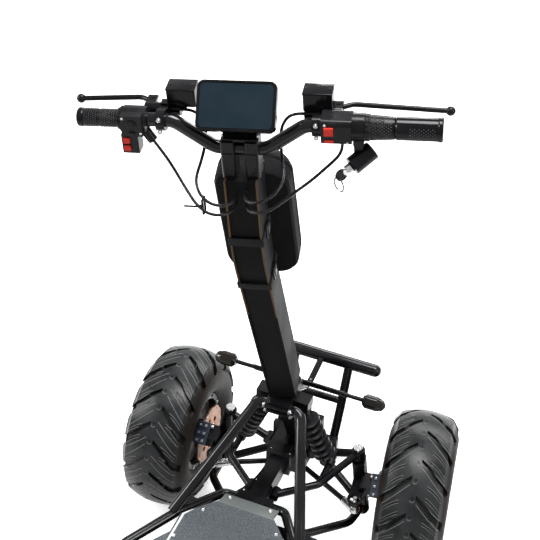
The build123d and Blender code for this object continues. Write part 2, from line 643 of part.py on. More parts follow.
def make_column():
    plate = column_face(COLUMN_BACK, COLUMN_FRONT, COLUMN_TOP_BACK_Y, COLUMN_TOP_DEPTH)
    core = column_face(
        COLUMN_BACK - FACE_INSET, COLUMN_FRONT - FACE_INSET,
        COLUMN_TOP_BACK_Y + FACE_INSET, COLUMN_TOP_DEPTH - 2 * FACE_INSET,
    )
    plates = Plane.YZ * plate
    box = extrude(Plane.YZ * core, COLUMN_HALF_WIDTH, both=True)
    right_plate = Pos(COLUMN_HALF_WIDTH - SIDE_PLATE, 0, 0) * extrude(plates, SIDE_PLATE)
    column = box + right_plate + mirror(right_plate, about=Plane.YZ)
    journal = rod(on_axis(COLLAR_LOW - 4), on_axis(COLLAR_HIGH + COLUMN_GAP + 2), JOURNAL_RADIUS)
    top = Plane(origin=on_axis(COLLAR_LOW - 4), z_dir=AXIS_UP, x_dir=(1, 0, 0))
    low = Plane(origin=on_axis(HEAD_HIGH + SEAT_GAP), z_dir=AXIS_UP, x_dir=(1, 0, 0))
    neck = loft([
        low * Rectangle(LOWER_COLUMN_BOTTOM_X, LOWER_COLUMN_BOTTOM_Y),
        top * Rectangle(LOWER_COLUMN_TOP, LOWER_COLUMN_TOP),
    ])
    arm_low = HEAD_LOW - PITMAN_GAP - PITMAN_THICKNESS
    shaft = rod(on_axis(arm_low), on_axis(HEAD_HIGH + 2), SHAFT_RADIUS)
    arm_plane = Plane(origin=on_axis(arm_low), z_dir=AXIS_UP, x_dir=(1, 0, 0))
    tip = PITMAN_TIP_RADIUS
    outline = Polyline((-17, 4), (17, 4), (tip, -PITMAN_LENGTH), (-tip, -PITMAN_LENGTH), close=True)
    arm_face = make_face(outline) + Circle(18) + Pos(0, -PITMAN_LENGTH) * Circle(tip)
    arm = extrude(arm_plane * arm_face, PITMAN_THICKNESS)
    pin_end = arm_low - 2 * (2 * TIE_EYE_HALF + SEAT_GAP) - 3
    pin = rod(on_axis(pin_end, -PITMAN_LENGTH), on_axis(arm_low + 2, -PITMAN_LENGTH), PITMAN_PIN_RADIUS)
    return column + journal + neck + shaft + arm + pin


def on_bar(points):
    """A solid of revolution about the outer run of the handlebar, from its (x, radius) outline."""
    return Pos(0, BAR_CLAMP_Y, GRIP_Z) * about_x(Plane.XZ, make_face(Polyline(*points, close=True)))


def make_clamps():
    towers = []
    for x in (-CLAMP_TOWER_X, CLAMP_TOWER_X):
        tower = Pos(x, BAR_CLAMP_Y, (COLUMN_TOP_Z + CLAMP_TOP) / 2) * Box(22, 38, CLAMP_TOP - COLUMN_TOP_Z)
        tower = fillet(tower.edges().filter_by(Axis.Z), 5)
        for y in (-19, 19):
            tower -= Pos(x, BAR_CLAMP_Y + y, BAR_CLAMP_Z) * Box(30, 4, 2)
        tower -= Pos(x, BAR_CLAMP_Y, BAR_CLAMP_Z) * Rot(0, 90, 0) * Cylinder(BAR_RADIUS + SEAT_GAP, 40)
        towers.append(tower)
    return towers


def make_bar():
    points = [
        (-BAR_LEFT_END, BAR_CLAMP_Y, GRIP_Z), (-BAR_BEND_OUT, BAR_CLAMP_Y, GRIP_Z),
        (-BAR_BEND_IN, BAR_CLAMP_Y, BAR_CLAMP_Z), (BAR_BEND_IN, BAR_CLAMP_Y, BAR_CLAMP_Z),
        (BAR_BEND_OUT, BAR_CLAMP_Y, GRIP_Z), (BAR_RIGHT_END, BAR_CLAMP_Y, GRIP_Z),
    ]
    return bent_tube(points, BAR_RADIUS, BAR_BEND_RADIUS)


def make_grips():
    start, end, radius = LEFT_GRIP
    left = on_bar([
        (start, 0), (start, radius - 1), (start + 2, radius + 1), (start + 8, radius + 1),
        (start + 10, radius), (end - 6, radius), (end - 4, radius + 3), (end, radius + 3),
        (end, GRIP_BORE), (-BAR_LEFT_END - SEAT_GAP, GRIP_BORE), (-BAR_LEFT_END - SEAT_GAP, 0),
    ])
    start, end, radius = RIGHT_GRIP
    right = on_bar([
        (start, GRIP_BORE), (start, radius - 2), (start + 3, radius), (end - 8, radius),
        (end - 6, radius + 1), (end - 2, radius + 1), (end, radius - 1), (end, 0),
        (BAR_RIGHT_END + SEAT_GAP, 0), (BAR_RIGHT_END + SEAT_GAP, GRIP_BORE),
    ])
    start, end, wide, narrow = THROTTLE
    throttle = on_bar([
        (start, GRIP_BORE), (start, wide), (start + 6, wide), (start + 8, wide - 1.5),
        (end - 4, narrow), (end, narrow), (end, GRIP_BORE),
    ])
    return left, right, throttle


def make_switches():
    start, end, radius = LEFT_HOUSING
    bore = Rot(0, 90, 0) * Cylinder(GRIP_BORE, 900)
    left = Pos((start + end) / 2, 0, 0) * Rot(0, 90, 0) * Cylinder(radius, end - start)
    left += Pos((start + end) / 2, -6, 0) * Box(end - start - 8, 34, 36)
    left += Pos(-172, -8, -34) * Box(27, 24, 34)
    left += Pos(-146, -4, -24) * Rot(0, -30, 0) * Cylinder(8, 26)
    left = left - bore
    start, end, radius = RIGHT_HOUSING
    right = Pos((start + end) / 2, -2, 0) * Box(end - start, 42, 42)
    right = fillet(right.edges().filter_by(Axis.X), 9)
    collar_start, collar_end = end, THROTTLE[0] - 0.5
    right += Pos((collar_start + collar_end) / 2, 0, 0) * Rot(0, 90, 0) * Cylinder(22, collar_end - collar_start)
    right += Pos(185, -2, -22) * Box(16, 18, 12)
    right = right - bore
    place = Pos(0, BAR_CLAMP_Y, GRIP_Z)
    red = [
        Pos(-177, -22, -27) * Box(10, 4, 8), Pos(-177, -22, -41) * Box(10, 4, 8),
        Pos(142, -25, 5) * Box(14, 4, 13), Pos(142, -24, -13) * Box(14, 2, 5),
    ]
    return place * left, place * right, [place * piece for piece in red]


def make_masters():
    masters, levers = [], []
    for side in (-1, 1):
        x = side * MASTER_CLAMP_X
        ring = Pos(x, 0, 0) * Rot(0, 90, 0) * Cylinder(BAR_RADIUS + 6, MASTER_CLAMP_WIDTH)
        perch = Pos(x, 17, 0) * Box(MASTER_CLAMP_WIDTH, 22, 22)
        body = Pos(side * (MASTER_CLAMP_X + 5), 32, 0) * Rot(0, 90, 0) * Cylinder(10, 58)
        ear_x = side * (MASTER_CLAMP_X + 26)
        ears = [Pos(ear_x, 46, z) * Box(16, 24, 4) for z in (-7, 7)]
        pin = Pos(ear_x, 51, 0) * Cylinder(4, 20)
        length, depth, height = RESERVOIR
        tank_x = RESERVOIR_X[side]
        neck = Pos((tank_x + x) / 2, 32, 10) * Box(abs(tank_x - x) + 14, 14, 8)
        tank = Pos(tank_x, 36, 12 + height / 2) * Box(length, depth, height)
        tank = fillet(tank.edges().filter_by(Axis.Z), 3)
        master = ring + perch + body + ears + pin + neck + tank
        masters.append(master - Rot(0, 90, 0) * Cylinder(GRIP_BORE, 900))
        run = [(ear_x, 51, 0), (ear_x + side * 22, 64, 0), (LEVER_END[side], 54, 0)]
        lever = bent_tube(run, 4.2, 20) + Pos(LEVER_END[side], 54, 0) * Sphere(LEVER_BALL)
        lever += Pos(ear_x, 51, 0) * Cylinder(7, 9.4)
        levers.append(lever - Pos(ear_x, 51, 0) * Cylinder(4 + PIN_CLEARANCE, 20))
    place = Pos(0, BAR_CLAMP_Y, GRIP_Z)
    return [place * m for m in masters], [place * v for v in levers]


def make_display():
    length, height, depth = DISPLAY_SIZE
    plane = Plane(
        origin=DISPLAY_CENTRE,
        x_dir=(1, 0, 0),
        z_dir=(0, -math.sin(math.radians(DISPLAY_TILT)), math.cos(math.radians(DISPLAY_TILT))),
    )
    case = extrude(plane * RectangleRounded(length, height, DISPLAY_CORNER), -depth)
    stem_high = DISPLAY_CENTRE[2] - 8
    stem = block((-27, 27), (BAR_CLAMP_Y - 3, BAR_CLAMP_Y + 5), (CLAMP_TOP, stem_high))
    foot = block((-27, 27), (BAR_CLAMP_Y - 15, BAR_CLAMP_Y + 15), (CLAMP_TOP, CLAMP_TOP + 4))
    stem -= Pos(0, BAR_CLAMP_Y, CLAMP_TOP + 13) * Box(26, 30, 4)
    glass = extrude(
        plane * RectangleRounded(length - 2 * SCREEN_MARGIN, height - 2 * SCREEN_MARGIN, DISPLAY_CORNER - 4), 1.0
    )
    return case + stem + foot, glass


def make_lock():
    plane = Plane(origin=LOCK_CENTRE, z_dir=LOCK_AXIS, x_dir=(0, 0, 1))
    housing = plane * Cylinder(LOCK_RADIUS, LOCK_LENGTH)
    barrel = plane * Pos(0, 0, LOCK_LENGTH / 2 + 5) * Cylinder(8, 12)
    neck = block((178, 192), (BAR_CLAMP_Y - 10, BAR_CLAMP_Y + 6), (GRIP_Z - 48, GRIP_Z - 28 - SEAT_GAP))
    lock = housing + barrel + neck
    face = LOCK_LENGTH / 2 + 11
    key = plane * Pos(0, 0, face + 10) * Rot(90, 0, 0) * Cylinder(10, 4)
    key += plane * Pos(0, 0, face + 3) * Box(8, 3, 6)
    return lock, key


def make_bag():
    """The hard-shell bag, narrower in front, whose back rests on the column's front."""
    low, top = BAG_BACK_LOW, BAG_BACK_TOP
    along = Vector(0, top[0] - low[0], top[1] - low[1])
    length = along.length
    plane = Plane(origin=(0, low[0], low[1]), x_dir=(1, 0, 0), z_dir=Vector(0, 1, -along.Y / along.Z))
    centre = length / 2
    back = plane * Pos(0, -centre * 1) * RectangleRounded(2 * BAG_HALF_WIDTH, length, 38)
    middle = plane.offset(BAG_DEPTH * 0.55) * Pos(0, -centre) * RectangleRounded(
        2 * BAG_HALF_WIDTH, length, 38
    )
    front = plane.offset(BAG_DEPTH) * Pos(0, -centre) * RectangleRounded(
        2 * BAG_HALF_WIDTH - 44, length - 50, 24
    )
    return loft([back, middle], ruled=True) + loft([middle, front], ruled=True)


def make_straps():
    """Two bands that follow the column's outline, cut square to it at their heights."""
    outline = column_face(COLUMN_BACK, COLUMN_FRONT, COLUMN_TOP_BACK_Y, COLUMN_TOP_DEPTH)
    inner = offset(outline, SEAT_GAP, kind=Kind.INTERSECTION)
    outer = offset(outline, SEAT_GAP + STRAP_THICKNESS, kind=Kind.INTERSECTION)
    half = COLUMN_HALF_WIDTH + SEAT_GAP
    band = extrude(Plane.YZ * outer, half + STRAP_THICKNESS, both=True)
    band -= extrude(Plane.YZ * inner, half, both=True)
    straps = []
    for z, y, lean in STRAP_PLACES:
        straps.append(band & Pos(0, y, z) * Rot(lean, 0, 0) * Box(200, 200, STRAP_WIDTH))
    return straps


left_grip, right_grip, throttle = make_grips()
left_switch, right_switch, red_buttons = make_switches()
masters, levers = make_masters()
display_case, display_screen = make_display()
key_lock, key = make_lock()
node("column", steered(make_column()))
node("bar_clamps", *[steered(tower) for tower in make_clamps()])
node("handlebar", steered(make_bar()))
node("left_grip", steered(left_grip))
node("right_grip", steered(right_grip))
node("twist_throttle", steered(throttle))
node("left_switch", steered(left_switch))
node("right_switch", steered(right_switch))
node("red_buttons", *[steered(button) for button in red_buttons])
node("brake_masters", *[steered(master) for master in masters])
node("brake_levers", *[steered(lever) for lever in levers])
node("display_case", steered(display_case))
node("display_screen", steered(display_screen))
node("key_lock", steered(key_lock))
node("key", steered(key))
node("front_bag", steered(make_bag()))
node("bag_straps", *[steered(strap) for strap in make_straps()])


def make_bulkhead():
    """The steering head with its bearing, and the front plate below and before it."""
    half = BULKHEAD_HALF_WIDTH
    head = slab((-half, half), (-BULKHEAD_REAR, BULKHEAD_FRONT), (BULKHEAD_LOW, BULKHEAD_HIGH))
    roof = slab((-half, half), (BULKHEAD_FRONT, FRONT_PLATE_FAR), (BULKHEAD_HIGH - 14, BULKHEAD_HIGH))
    plate_y = (FRONT_PLATE_NEAR, FRONT_PLATE_FAR)
    web = slab((-half, half), plate_y, (FRONT_PLATE_HIGH - 5, BULKHEAD_HIGH))
    plate = slab(
        (-FRONT_PLATE_HALF_WIDTH, FRONT_PLATE_HALF_WIDTH), plate_y, (FRONT_PLATE_LOW, FRONT_PLATE_HIGH)
    )
    tube = rod(on_axis(HEAD_LOW), on_axis(HEAD_HIGH), HEAD_RADIUS)
    bore = rod(on_axis(HEAD_LOW - 40), on_axis(HEAD_HIGH + 20), SHAFT_RADIUS + RUNNING_FIT)
    return head + roof + web + plate + tube - bore


def make_collar():
    """The upper bearing of the steering, with horns for the shocks and a lug for the strut."""
    plane = Plane(origin=on_axis(COLLAR_LOW), z_dir=AXIS_UP, x_dir=(1, 0, 0))
    height = COLLAR_HIGH - COLLAR_LOW
    body = Pos(0, (COLLAR_FRONT - COLLAR_BACK) / 2, height / 2) * Box(
        2 * COLLAR_HALF_WIDTH, COLLAR_FRONT + COLLAR_BACK, height
    )
    body = fillet(body.edges().filter_by(Axis.Z), 6)
    for along in (6, 29):
        body += Pos(0, -COLLAR_BACK - 2.5, along) * Rot(0, 90, 0) * Cylinder(4, 2 * COLLAR_HALF_WIDTH)
    body += Pos(0, 40, 6) * Box(16, 24, 12)
    body = plane * body
    x, y, z = FRONT_SHOCK_TOP
    horn = slab((COLLAR_HALF_WIDTH - 3, x + 12), (y - 15, y + 15), (z + 13, z + 37))
    lugs = [slab((x - 10, x + 10), (y + low, y + low + 5), (z - 12, z + 15)) for low in (-15, 10)]
    pin = rod(spot(x, y - 18, z), spot(x, y + 18, z), EYE_PIN_RADIUS)
    neck_room = plane * Pos(0, 0, -30) * Cylinder(LOWER_COLUMN_TOP * 0.71 + 5, 60)
    mount = horn + lugs + pin - neck_room
    bore = plane * Pos(0, 0, height / 2) * Cylinder(JOURNAL_RADIUS + RUNNING_FIT, 2 * height)
    return body + mount + mirror(mount, about=Plane.YZ) - bore


def make_spine():
    half = SPINE_WIDTH / 2
    beam = slab((-half, half), (-CLAMP_BACK, -BULKHEAD_REAR - SEAT_GAP), (SPINE_LOW, SPINE_HIGH))
    front_clamp = slab((-half - 9, half + 9), (-101, -89), (SPINE_LOW - 7, SPINE_HIGH + 7))
    rear_clamp = slab((-38, 38), (-CLAMP_BACK, -CLAMP_BACK + CLAMP_THICKNESS), (160, SPINE_HIGH + 3))
    return beam + front_clamp + rear_clamp


def make_frame_rails():
    """Two main rails with their cross members, and the tube on which the rear arms sit."""
    cross_front = -CLAMP_BACK - 3
    low, high = MAIN_RAIL_Z, MAIN_RAIL_Z + MAIN_RAIL_HEIGHT
    outer = MAIN_RAIL_X + MAIN_RAIL_WIDTH
    rail = slab((MAIN_RAIL_X, outer), (-RAIL_REAR, cross_front), (low, high))
    front = slab((-outer, outer), (cross_front - FRONT_CROSS_DEPTH, cross_front), (low + 15, high + 15))
    centre = slab((-30, 30), (cross_front - FRONT_CROSS_DEPTH, cross_front), (high, SPINE_HIGH - 7))
    rear = slab((-outer, outer), (-RAIL_REAR, -RAIL_REAR_CROSS), (low, high))
    pivot = rod(
        spot(-REAR_PIVOT_REACH, REAR_PIVOT_Y, REAR_PIVOT_Z),
        spot(REAR_PIVOT_REACH, REAR_PIVOT_Y, REAR_PIVOT_Z),
        REAR_PIVOT_RADIUS,
    )
    return front + centre + rear + both(rail) + pivot


def make_upper_frame():
    """The two braces from the collar, the rail round the deck and the outriggers below it."""
    brace = bent_tube(
        [
            spot(COLLAR_HALF_WIDTH + SEAT_GAP, -100, 447),
            spot(46, -100, 447),
            spot(136, -322, 304),
        ],
        BRACE_RADIUS,
        20,
    )
    right = [
        spot(38 + SEAT_GAP, -222, 286), spot(66, -222, 286), spot(128, -316, 300),
        spot(190, -430, 300), spot(190, -690, 300), spot(120, -770, 300),
    ]
    left = [(-x, y, z) for x, y, z in reversed(right)]
    bends = [20, 40, 50, 50, 40, 40, 50, 50, 40, 20]
    ring = bent_tube(right + left, RAIL_RADIUS, bends)
    outer = MAIN_RAIL_X + MAIN_RAIL_WIDTH + SEAT_GAP
    keep_off = slab((0, outer), (-760, -400), (150, 300))
    riggers = [rod(spot(190, y, 300), spot(138, y, 222), 7) - keep_off for y in (-450, -560, -670)]
    tower = rod(spot(127, -762, 300), spot(152, REAR_SHOCK_TOP[1], REAR_SHOCK_TOP[2]), 8)
    tower += rod(spot(146, *REAR_SHOCK_TOP[1:]), spot(182, *REAR_SHOCK_TOP[1:]), EYE_PIN_RADIUS)
    frame = ring
    for piece in [brace, tower, *riggers]:
        frame += piece
        frame += mirror(piece, about=Plane.YZ)
    return frame


def make_deck():
    """The folded deck plate: nose, floor and the two side flaps."""
    top, sheet = DECK_TOP_Z, DECK_SHEET
    floor = Polyline(
        spot(DECK_NOSE_HALF_WIDTH, -DECK_FOLD, 0), spot(DECK_HALF_WIDTH, -DECK_SHOULDER, 0),
        spot(DECK_HALF_WIDTH, -DECK_REAR, 0), spot(-DECK_HALF_WIDTH, -DECK_REAR, 0),
        spot(-DECK_HALF_WIDTH, -DECK_SHOULDER, 0), spot(-DECK_NOSE_HALF_WIDTH, -DECK_FOLD, 0),
        close=True,
    )
    deck = Pos(0, 0, top - sheet) * extrude(make_face(floor), sheet)
    fold, front, drop = behind(DECK_FOLD), behind(DECK_FRONT), DECK_LIP_DROP
    nose = make_face(Polyline(
        (fold - 1, top), (fold, top), (front, top - drop), (front - 2, top - drop - sheet),
        (fold - 1, top - sheet), close=True,
    ))
    deck += extrude(Plane.YZ * nose, DECK_NOSE_HALF_WIDTH, both=True)
    flap_face = make_face(Polyline(
        (DECK_HALF_WIDTH - 1, top), (DECK_HALF_WIDTH, top), (FLAP_HALF_WIDTH, top - FLAP_DROP),
        (FLAP_HALF_WIDTH, top - FLAP_DROP - sheet), (DECK_HALF_WIDTH - 1, top - sheet), close=True,
    ))
    flap = Pos(0, behind(DECK_REAR - 10), 0) * extrude(Plane.XZ * flap_face, -(DECK_REAR - 10 - 372))
    cut = Polyline(
        spot(DECK_HALF_WIDTH, -372, 0), spot(160, -428, 0), spot(FLAP_HALF_WIDTH + 1, -438, 0),
        spot(FLAP_HALF_WIDTH + 1, -360, 0), spot(DECK_HALF_WIDTH, -360, 0), close=True,
    )
    flap -= Pos(0, 0, top - 40) * extrude(make_face(cut), 60)
    return deck + flap + mirror(flap, about=Plane.YZ)


def make_battery_box():
    outer = MAIN_RAIL_X - SEAT_GAP
    wall = BOX_WALL
    high = DECK_TOP_Z - DECK_SHEET - SEAT_GAP
    box = slab((-outer, outer), (-BOX_REAR, -BOX_FRONT), (BOX_LOW, high))
    box -= slab(
        (-outer + wall, outer - wall), (-BOX_REAR + wall, -BOX_FRONT - wall), (BOX_LOW + wall, high + 1)
    )
    length, depth, height = BATTERY_SIZE
    low = BOX_LOW + wall + SEAT_GAP
    middle = -(BOX_FRONT + BOX_REAR) / 2
    pack = slab((-length / 2, length / 2), (middle - depth / 2, middle + depth / 2), (low, low + height))
    return box, pack


def arm_barrel(place):
    x, y, z = place
    half = BARREL_LENGTH / 2
    return rod(spot(x, y - half, z), spot(x, y + half, z), BARREL_RADIUS)


def ball_ring(place):
    """The ring at an arm's outer end, and the hole in it for the kingpin."""
    plane = Plane(origin=place, z_dir=KINGPIN)
    return (
        plane * Cylinder(BALL_RING_RADIUS, BALL_RING_HEIGHT),
        plane * Cylinder(BALL_PIN_RADIUS + PIN_CLEARANCE, 60),
    )


def make_upper_arm():
    ring, hole = ball_ring(UPPER_BALL)
    x, y, z = UPPER_REAR_BARREL
    legs = rod(UPPER_BALL, spot(*UPPER_FRONT_BARREL), ARM_RADIUS - 1)
    legs += bent_tube(
        [UPPER_BALL, spot(132, -46, 282), spot(100, -122, 280), spot(x + 3, y, z)], ARM_RADIUS - 2, 30
    )
    shock_y, shock_z = FRONT_SHOCK_BOTTOM[1:]
    tube = rod(
        spot(SHOCK_TUBE_X, -18, shock_z), spot(SHOCK_TUBE_X, -102, shock_z), SHOCK_TUBE_RADIUS
    )
    return ring + legs + tube + arm_barrel(UPPER_FRONT_BARREL) + arm_barrel(UPPER_REAR_BARREL) - hole


def make_lower_arm():
    ring, hole = ball_ring(LOWER_BALL)
    x, y, z = LOWER_REAR_BARREL
    legs = rod(LOWER_BALL, spot(*LOWER_FRONT_BARREL), ARM_RADIUS - 1)
    legs += bent_tube(
        [LOWER_BALL, spot(160, -80, 140), spot(92, -155, 155), spot(x + 3, y, z)], ARM_RADIUS - 1, 40
    )
    return ring + legs + arm_barrel(LOWER_FRONT_BARREL) + arm_barrel(LOWER_REAR_BARREL) - hole


def make_shock(top, bottom, eye_direction, low_eye, low_bore):
    """A shock's body and its spring, whose eyes lie along eye_direction."""
    top, bottom = Vector(*spot(*top)), Vector(*spot(*bottom))
    plane = Plane(origin=top, z_dir=bottom - top)
    length = (bottom - top).length

    def part_of(start, stop, radius):
        return plane * Pos(0, 0, (start + stop) / 2) * Cylinder(radius, stop - start)

    body = part_of(4, 96, SHOCK_BODY_RADIUS - 5) + part_of(20, 96, SHOCK_BODY_RADIUS)
    body += part_of(90, length - 4, SHOCK_ROD_RADIUS)
    body += part_of(SPRING_START - CUP_THICKNESS, SPRING_START - SEAT_GAP, CUP_RADIUS)
    body += part_of(SPRING_STOP + SEAT_GAP, SPRING_STOP + CUP_THICKNESS, CUP_RADIUS)
    high_plane = Plane(origin=top, z_dir=eye_direction)
    low_plane = Plane(origin=bottom, z_dir=eye_direction)
    body += high_plane * Cylinder(EYE_RADIUS, EYE_LENGTH)
    body += low_plane * Cylinder(low_eye, EYE_LENGTH)
    body -= high_plane * Cylinder(EYE_PIN_RADIUS + PIN_CLEARANCE, 40)
    body -= low_plane * Cylinder(low_bore, 40)
    wire = SPRING_OUTER - SPRING_INNER - 2 * SEAT_GAP
    middle = (SPRING_OUTER + SPRING_INNER) / 2
    rise = SPRING_STOP - SPRING_START - wire
    helix = Helix(pitch=rise / SPRING_TURNS, height=rise, radius=middle)
    section = Plane(origin=helix @ 0, z_dir=helix % 0, x_dir=(1, 0, 0)) * Rectangle(wire, wire * 0.9)
    spring = plane * Pos(0, 0, SPRING_START + wire / 2) * sweep(section, path=helix, is_frenet=True)
    return body, spring


def make_rear_arm():
    """A trailing arm with its barrel, its axle stub and the clevis for the shock."""
    low_x, high_x = REAR_ARM_X
    axle_y = -WHEELBASE
    half = REAR_ARM_HEIGHT / 2
    side = make_face(Polyline(
        spot(0, REAR_PIVOT_Y + 4, REAR_PIVOT_Z + half)[1:], spot(0, axle_y, TYRE_RADIUS + half)[1:],
        spot(0, axle_y - 18, TYRE_RADIUS)[1:], spot(0, axle_y, TYRE_RADIUS - half)[1:],
        spot(0, REAR_PIVOT_Y + 4, REAR_PIVOT_Z - half)[1:], close=True,
    ))
    arm = Pos(low_x, 0, 0) * extrude(Plane.YZ * side, high_x - low_x)
    arm += rod(
        spot(low_x - 5, REAR_PIVOT_Y, REAR_PIVOT_Z), spot(high_x + 5, REAR_PIVOT_Y, REAR_PIVOT_Z), half + 4
    )
    hub_end = REAR_TRACK / 2 - HUB_INBOARD
    arm += rod(spot(low_x + 5, axle_y, TYRE_RADIUS), spot(hub_end - 1.5, axle_y, TYRE_RADIUS), AXLE_RADIUS + 6)
    axle_end = REAR_TRACK / 2 + WEB_OFFSET + 8
    arm += rod(spot(low_x + 5, axle_y, TYRE_RADIUS), spot(axle_end, axle_y, TYRE_RADIUS), AXLE_RADIUS)
    arm += rod(
        spot(axle_end, axle_y, TYRE_RADIUS), spot(axle_end + AXLE_NUT_LENGTH, axle_y, TYRE_RADIUS), AXLE_NUT_RADIUS
    )
    x, y, z = REAR_SHOCK_BOTTOM
    for start in (low_x, high_x - 4):
        arm += slab((start, start + 4), (y - 13, y + 13), (TYRE_RADIUS, z + 10))
    arm += rod(spot(low_x, y, z), spot(high_x, y, z), EYE_PIN_RADIUS)
    return arm - rod(
        spot(low_x - 20, REAR_PIVOT_Y, REAR_PIVOT_Z), spot(high_x + 20, REAR_PIVOT_Y, REAR_PIVOT_Z),
        REAR_PIVOT_RADIUS + SEAT_GAP,
    )


def make_bumper():
    """The top tube with rounded ends, two posts, their cross tube and the strut to the collar."""
    top_y, top_z = 154.0, 365.0
    straight = BUMPER_HALF_LENGTH - BUMPER_RADIUS
    bumper = rod(spot(-straight, top_y, top_z), spot(straight, top_y, top_z), BUMPER_RADIUS)
    for x in (-straight, straight):
        bumper += Pos(*spot(x, top_y, top_z)) * Sphere(BUMPER_RADIUS)
    post = bent_tube([spot(62, top_y, top_z), spot(62, 112, 270), spot(62, 66, 186)], POST_RADIUS, 60)
    post -= slab((40, 90), (0, FRONT_PLATE_FAR + SEAT_GAP), (100, 260))
    bumper += post
    bumper += mirror(post, about=Plane.YZ)
    bumper += rod(spot(-62, 117, 282), spot(62, 117, 282), 8)
    strut = [
        spot(0, top_y, top_z), spot(0, 72, 352), on_axis(120, STRUT_FORWARD),
        on_axis(COLLAR_LOW - SEAT_GAP, STRUT_FORWARD),
    ]
    return bumper + bent_tube(strut, STRUT_RADIUS, 40)


def make_indicators():
    """The plate in front of the strut with its two stalks, and the lamp at each stalk's end."""
    centre = on_axis(135, STRUT_FORWARD + STRUT_RADIUS + SEAT_GAP + STALK_RADIUS)
    plane = Plane(origin=centre, z_dir=AXIS_FORWARD, x_dir=(1, 0, 0))
    bar = plane * Box(202, 22, 3)
    x, y, z = centre
    bar += rod((-141, y, z), (141, y, z), STALK_RADIUS)
    outline = [(141.3, 0), (141.3, 9), (148, 15), (172, 15), (184, 11), (189, 4), (189, 0)]
    lamp = Pos(0, y, z) * about_x(Plane.XZ, make_face(Polyline(*outline, close=True)))
    return bar, both(lamp)


box, battery = make_battery_box()
front_shock = make_shock(
    FRONT_SHOCK_TOP, FRONT_SHOCK_BOTTOM, (0, 1, 0), EYE_RADIUS, SHOCK_TUBE_RADIUS + PIN_CLEARANCE
)
rear_shock = make_shock(
    REAR_SHOCK_TOP, REAR_SHOCK_BOTTOM, (1, 0, 0), EYE_RADIUS, EYE_PIN_RADIUS + PIN_CLEARANCE
)
indicator_bar, lamps = make_indicators()
tail_lamp = slab((40, 84), (-793, -770 - RAIL_RADIUS - SEAT_GAP), (290, 310))
node("bulkhead", make_bulkhead())
node("steering_collar", make_collar())
node("spine_beam", make_spine())
node("frame_rails", make_frame_rails())
node("upper_frame", make_upper_frame())
node("deck_plate", make_deck())
node("battery_box", box)
node("battery_pack", battery)
node("upper_arms", *both(make_upper_arm()))
node("lower_arms", *both(make_lower_arm()))
node("shock_bodies", *both(front_shock[0]), *both(rear_shock[0]))
node("shock_springs", *both(front_shock[1]), *both(rear_shock[1]))
node("rear_arms", *both(make_rear_arm()))
node("front_bumper", make_bumper())
node("indicator_bar", indicator_bar)
node("signal_lamps", *lamps)
node("tail_lamps", *both(tail_lamp))


def cable_path(points):
    """Straight runs joined by arcs, each as large as its two runs allow."""
    runs = [Vector(*b) - Vector(*a) for a, b in zip(points, points[1:])]
    radii = []
    for first, second in zip(runs, runs[1:]):
        half_turn = math.radians(first.get_angle(second)) / 2
        radii.append(0.45 * min(first.length, second.length) / math.tan(half_turn))
    return FilletPolyline(*points, radius=radii), radii


def make_cable(name, points):
    path, radii = cable_path(points)
    cable = sweep(Plane(origin=path @ 0, z_dir=path % 0) * Circle(CABLE_RADIUS), path=path)
    expected = math.pi * CABLE_RADIUS**2 * path.length
    print(name, "radii", [round(r) for r in radii], "volume ratio", round(cable.volume / expected, 3))
    return cable


for name, route in CABLE_ROUTES.items():
    cable = make_cable(name, [spot(*point) for point in route])
    node(name, cable if name.endswith("_frame") else steered(cable))
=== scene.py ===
import json
import math

import bmesh
import bpy
from mathutils import Matrix, Vector


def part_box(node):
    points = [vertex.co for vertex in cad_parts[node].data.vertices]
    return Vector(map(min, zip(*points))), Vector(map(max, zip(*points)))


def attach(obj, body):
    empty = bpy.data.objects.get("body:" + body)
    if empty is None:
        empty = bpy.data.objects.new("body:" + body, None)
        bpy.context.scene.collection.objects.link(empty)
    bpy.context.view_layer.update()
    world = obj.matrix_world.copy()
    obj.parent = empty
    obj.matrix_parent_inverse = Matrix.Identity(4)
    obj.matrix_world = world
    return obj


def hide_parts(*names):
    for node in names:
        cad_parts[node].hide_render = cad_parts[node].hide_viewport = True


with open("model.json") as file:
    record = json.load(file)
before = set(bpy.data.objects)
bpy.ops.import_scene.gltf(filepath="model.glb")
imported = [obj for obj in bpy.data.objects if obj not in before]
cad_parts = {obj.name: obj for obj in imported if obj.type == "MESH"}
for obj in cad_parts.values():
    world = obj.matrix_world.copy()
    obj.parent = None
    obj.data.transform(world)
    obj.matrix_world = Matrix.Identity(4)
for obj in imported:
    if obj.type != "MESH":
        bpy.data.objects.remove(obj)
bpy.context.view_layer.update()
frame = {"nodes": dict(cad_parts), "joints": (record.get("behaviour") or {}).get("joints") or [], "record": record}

# Places and sizes shared by the pieces, in metres
UP = Vector((0, 0, 1))
FRONT_AXLE_Y = 0.440736
STEERING_FOOT = Vector((0, FRONT_AXLE_Y + 0.002, 0.278))
BAR_CENTRE = Vector((0, FRONT_AXLE_Y - 0.256, 1.220))
RAKE = math.radians(20)
BAR_TURN = math.radians(14)
RIM_FACE = 0.0562
RIM_BOLT_RADIUS = 0.083
HUB_FACE = 0.0302
HUB_BOLT_RADIUS = 0.0232
DISC_FACE = 0.0724
DISC_BOLT_RADIUS = 0.0225
CALIPER_INBOARD = 0.0778
CALIPER_TILT = math.radians(42)
DISPLAY_CENTRE = Vector((0, FRONT_AXLE_Y - 0.266, 1.256))
DISPLAY_TILT = math.radians(50)
# Height from which the column's plate edges carry a painted warm highlight in bronze
WARM_HIGHLIGHT_FROM = 0.79
COLUMN_PLATE_INNER = 0.0236
COLUMN_PLATE_OUTER = 0.0271
DECK_NOSE_Y = FRONT_AXLE_Y - 0.234
DECK_FOLD_Y = FRONT_AXLE_Y - 0.268
CABLE_DIAMETER = 0.005

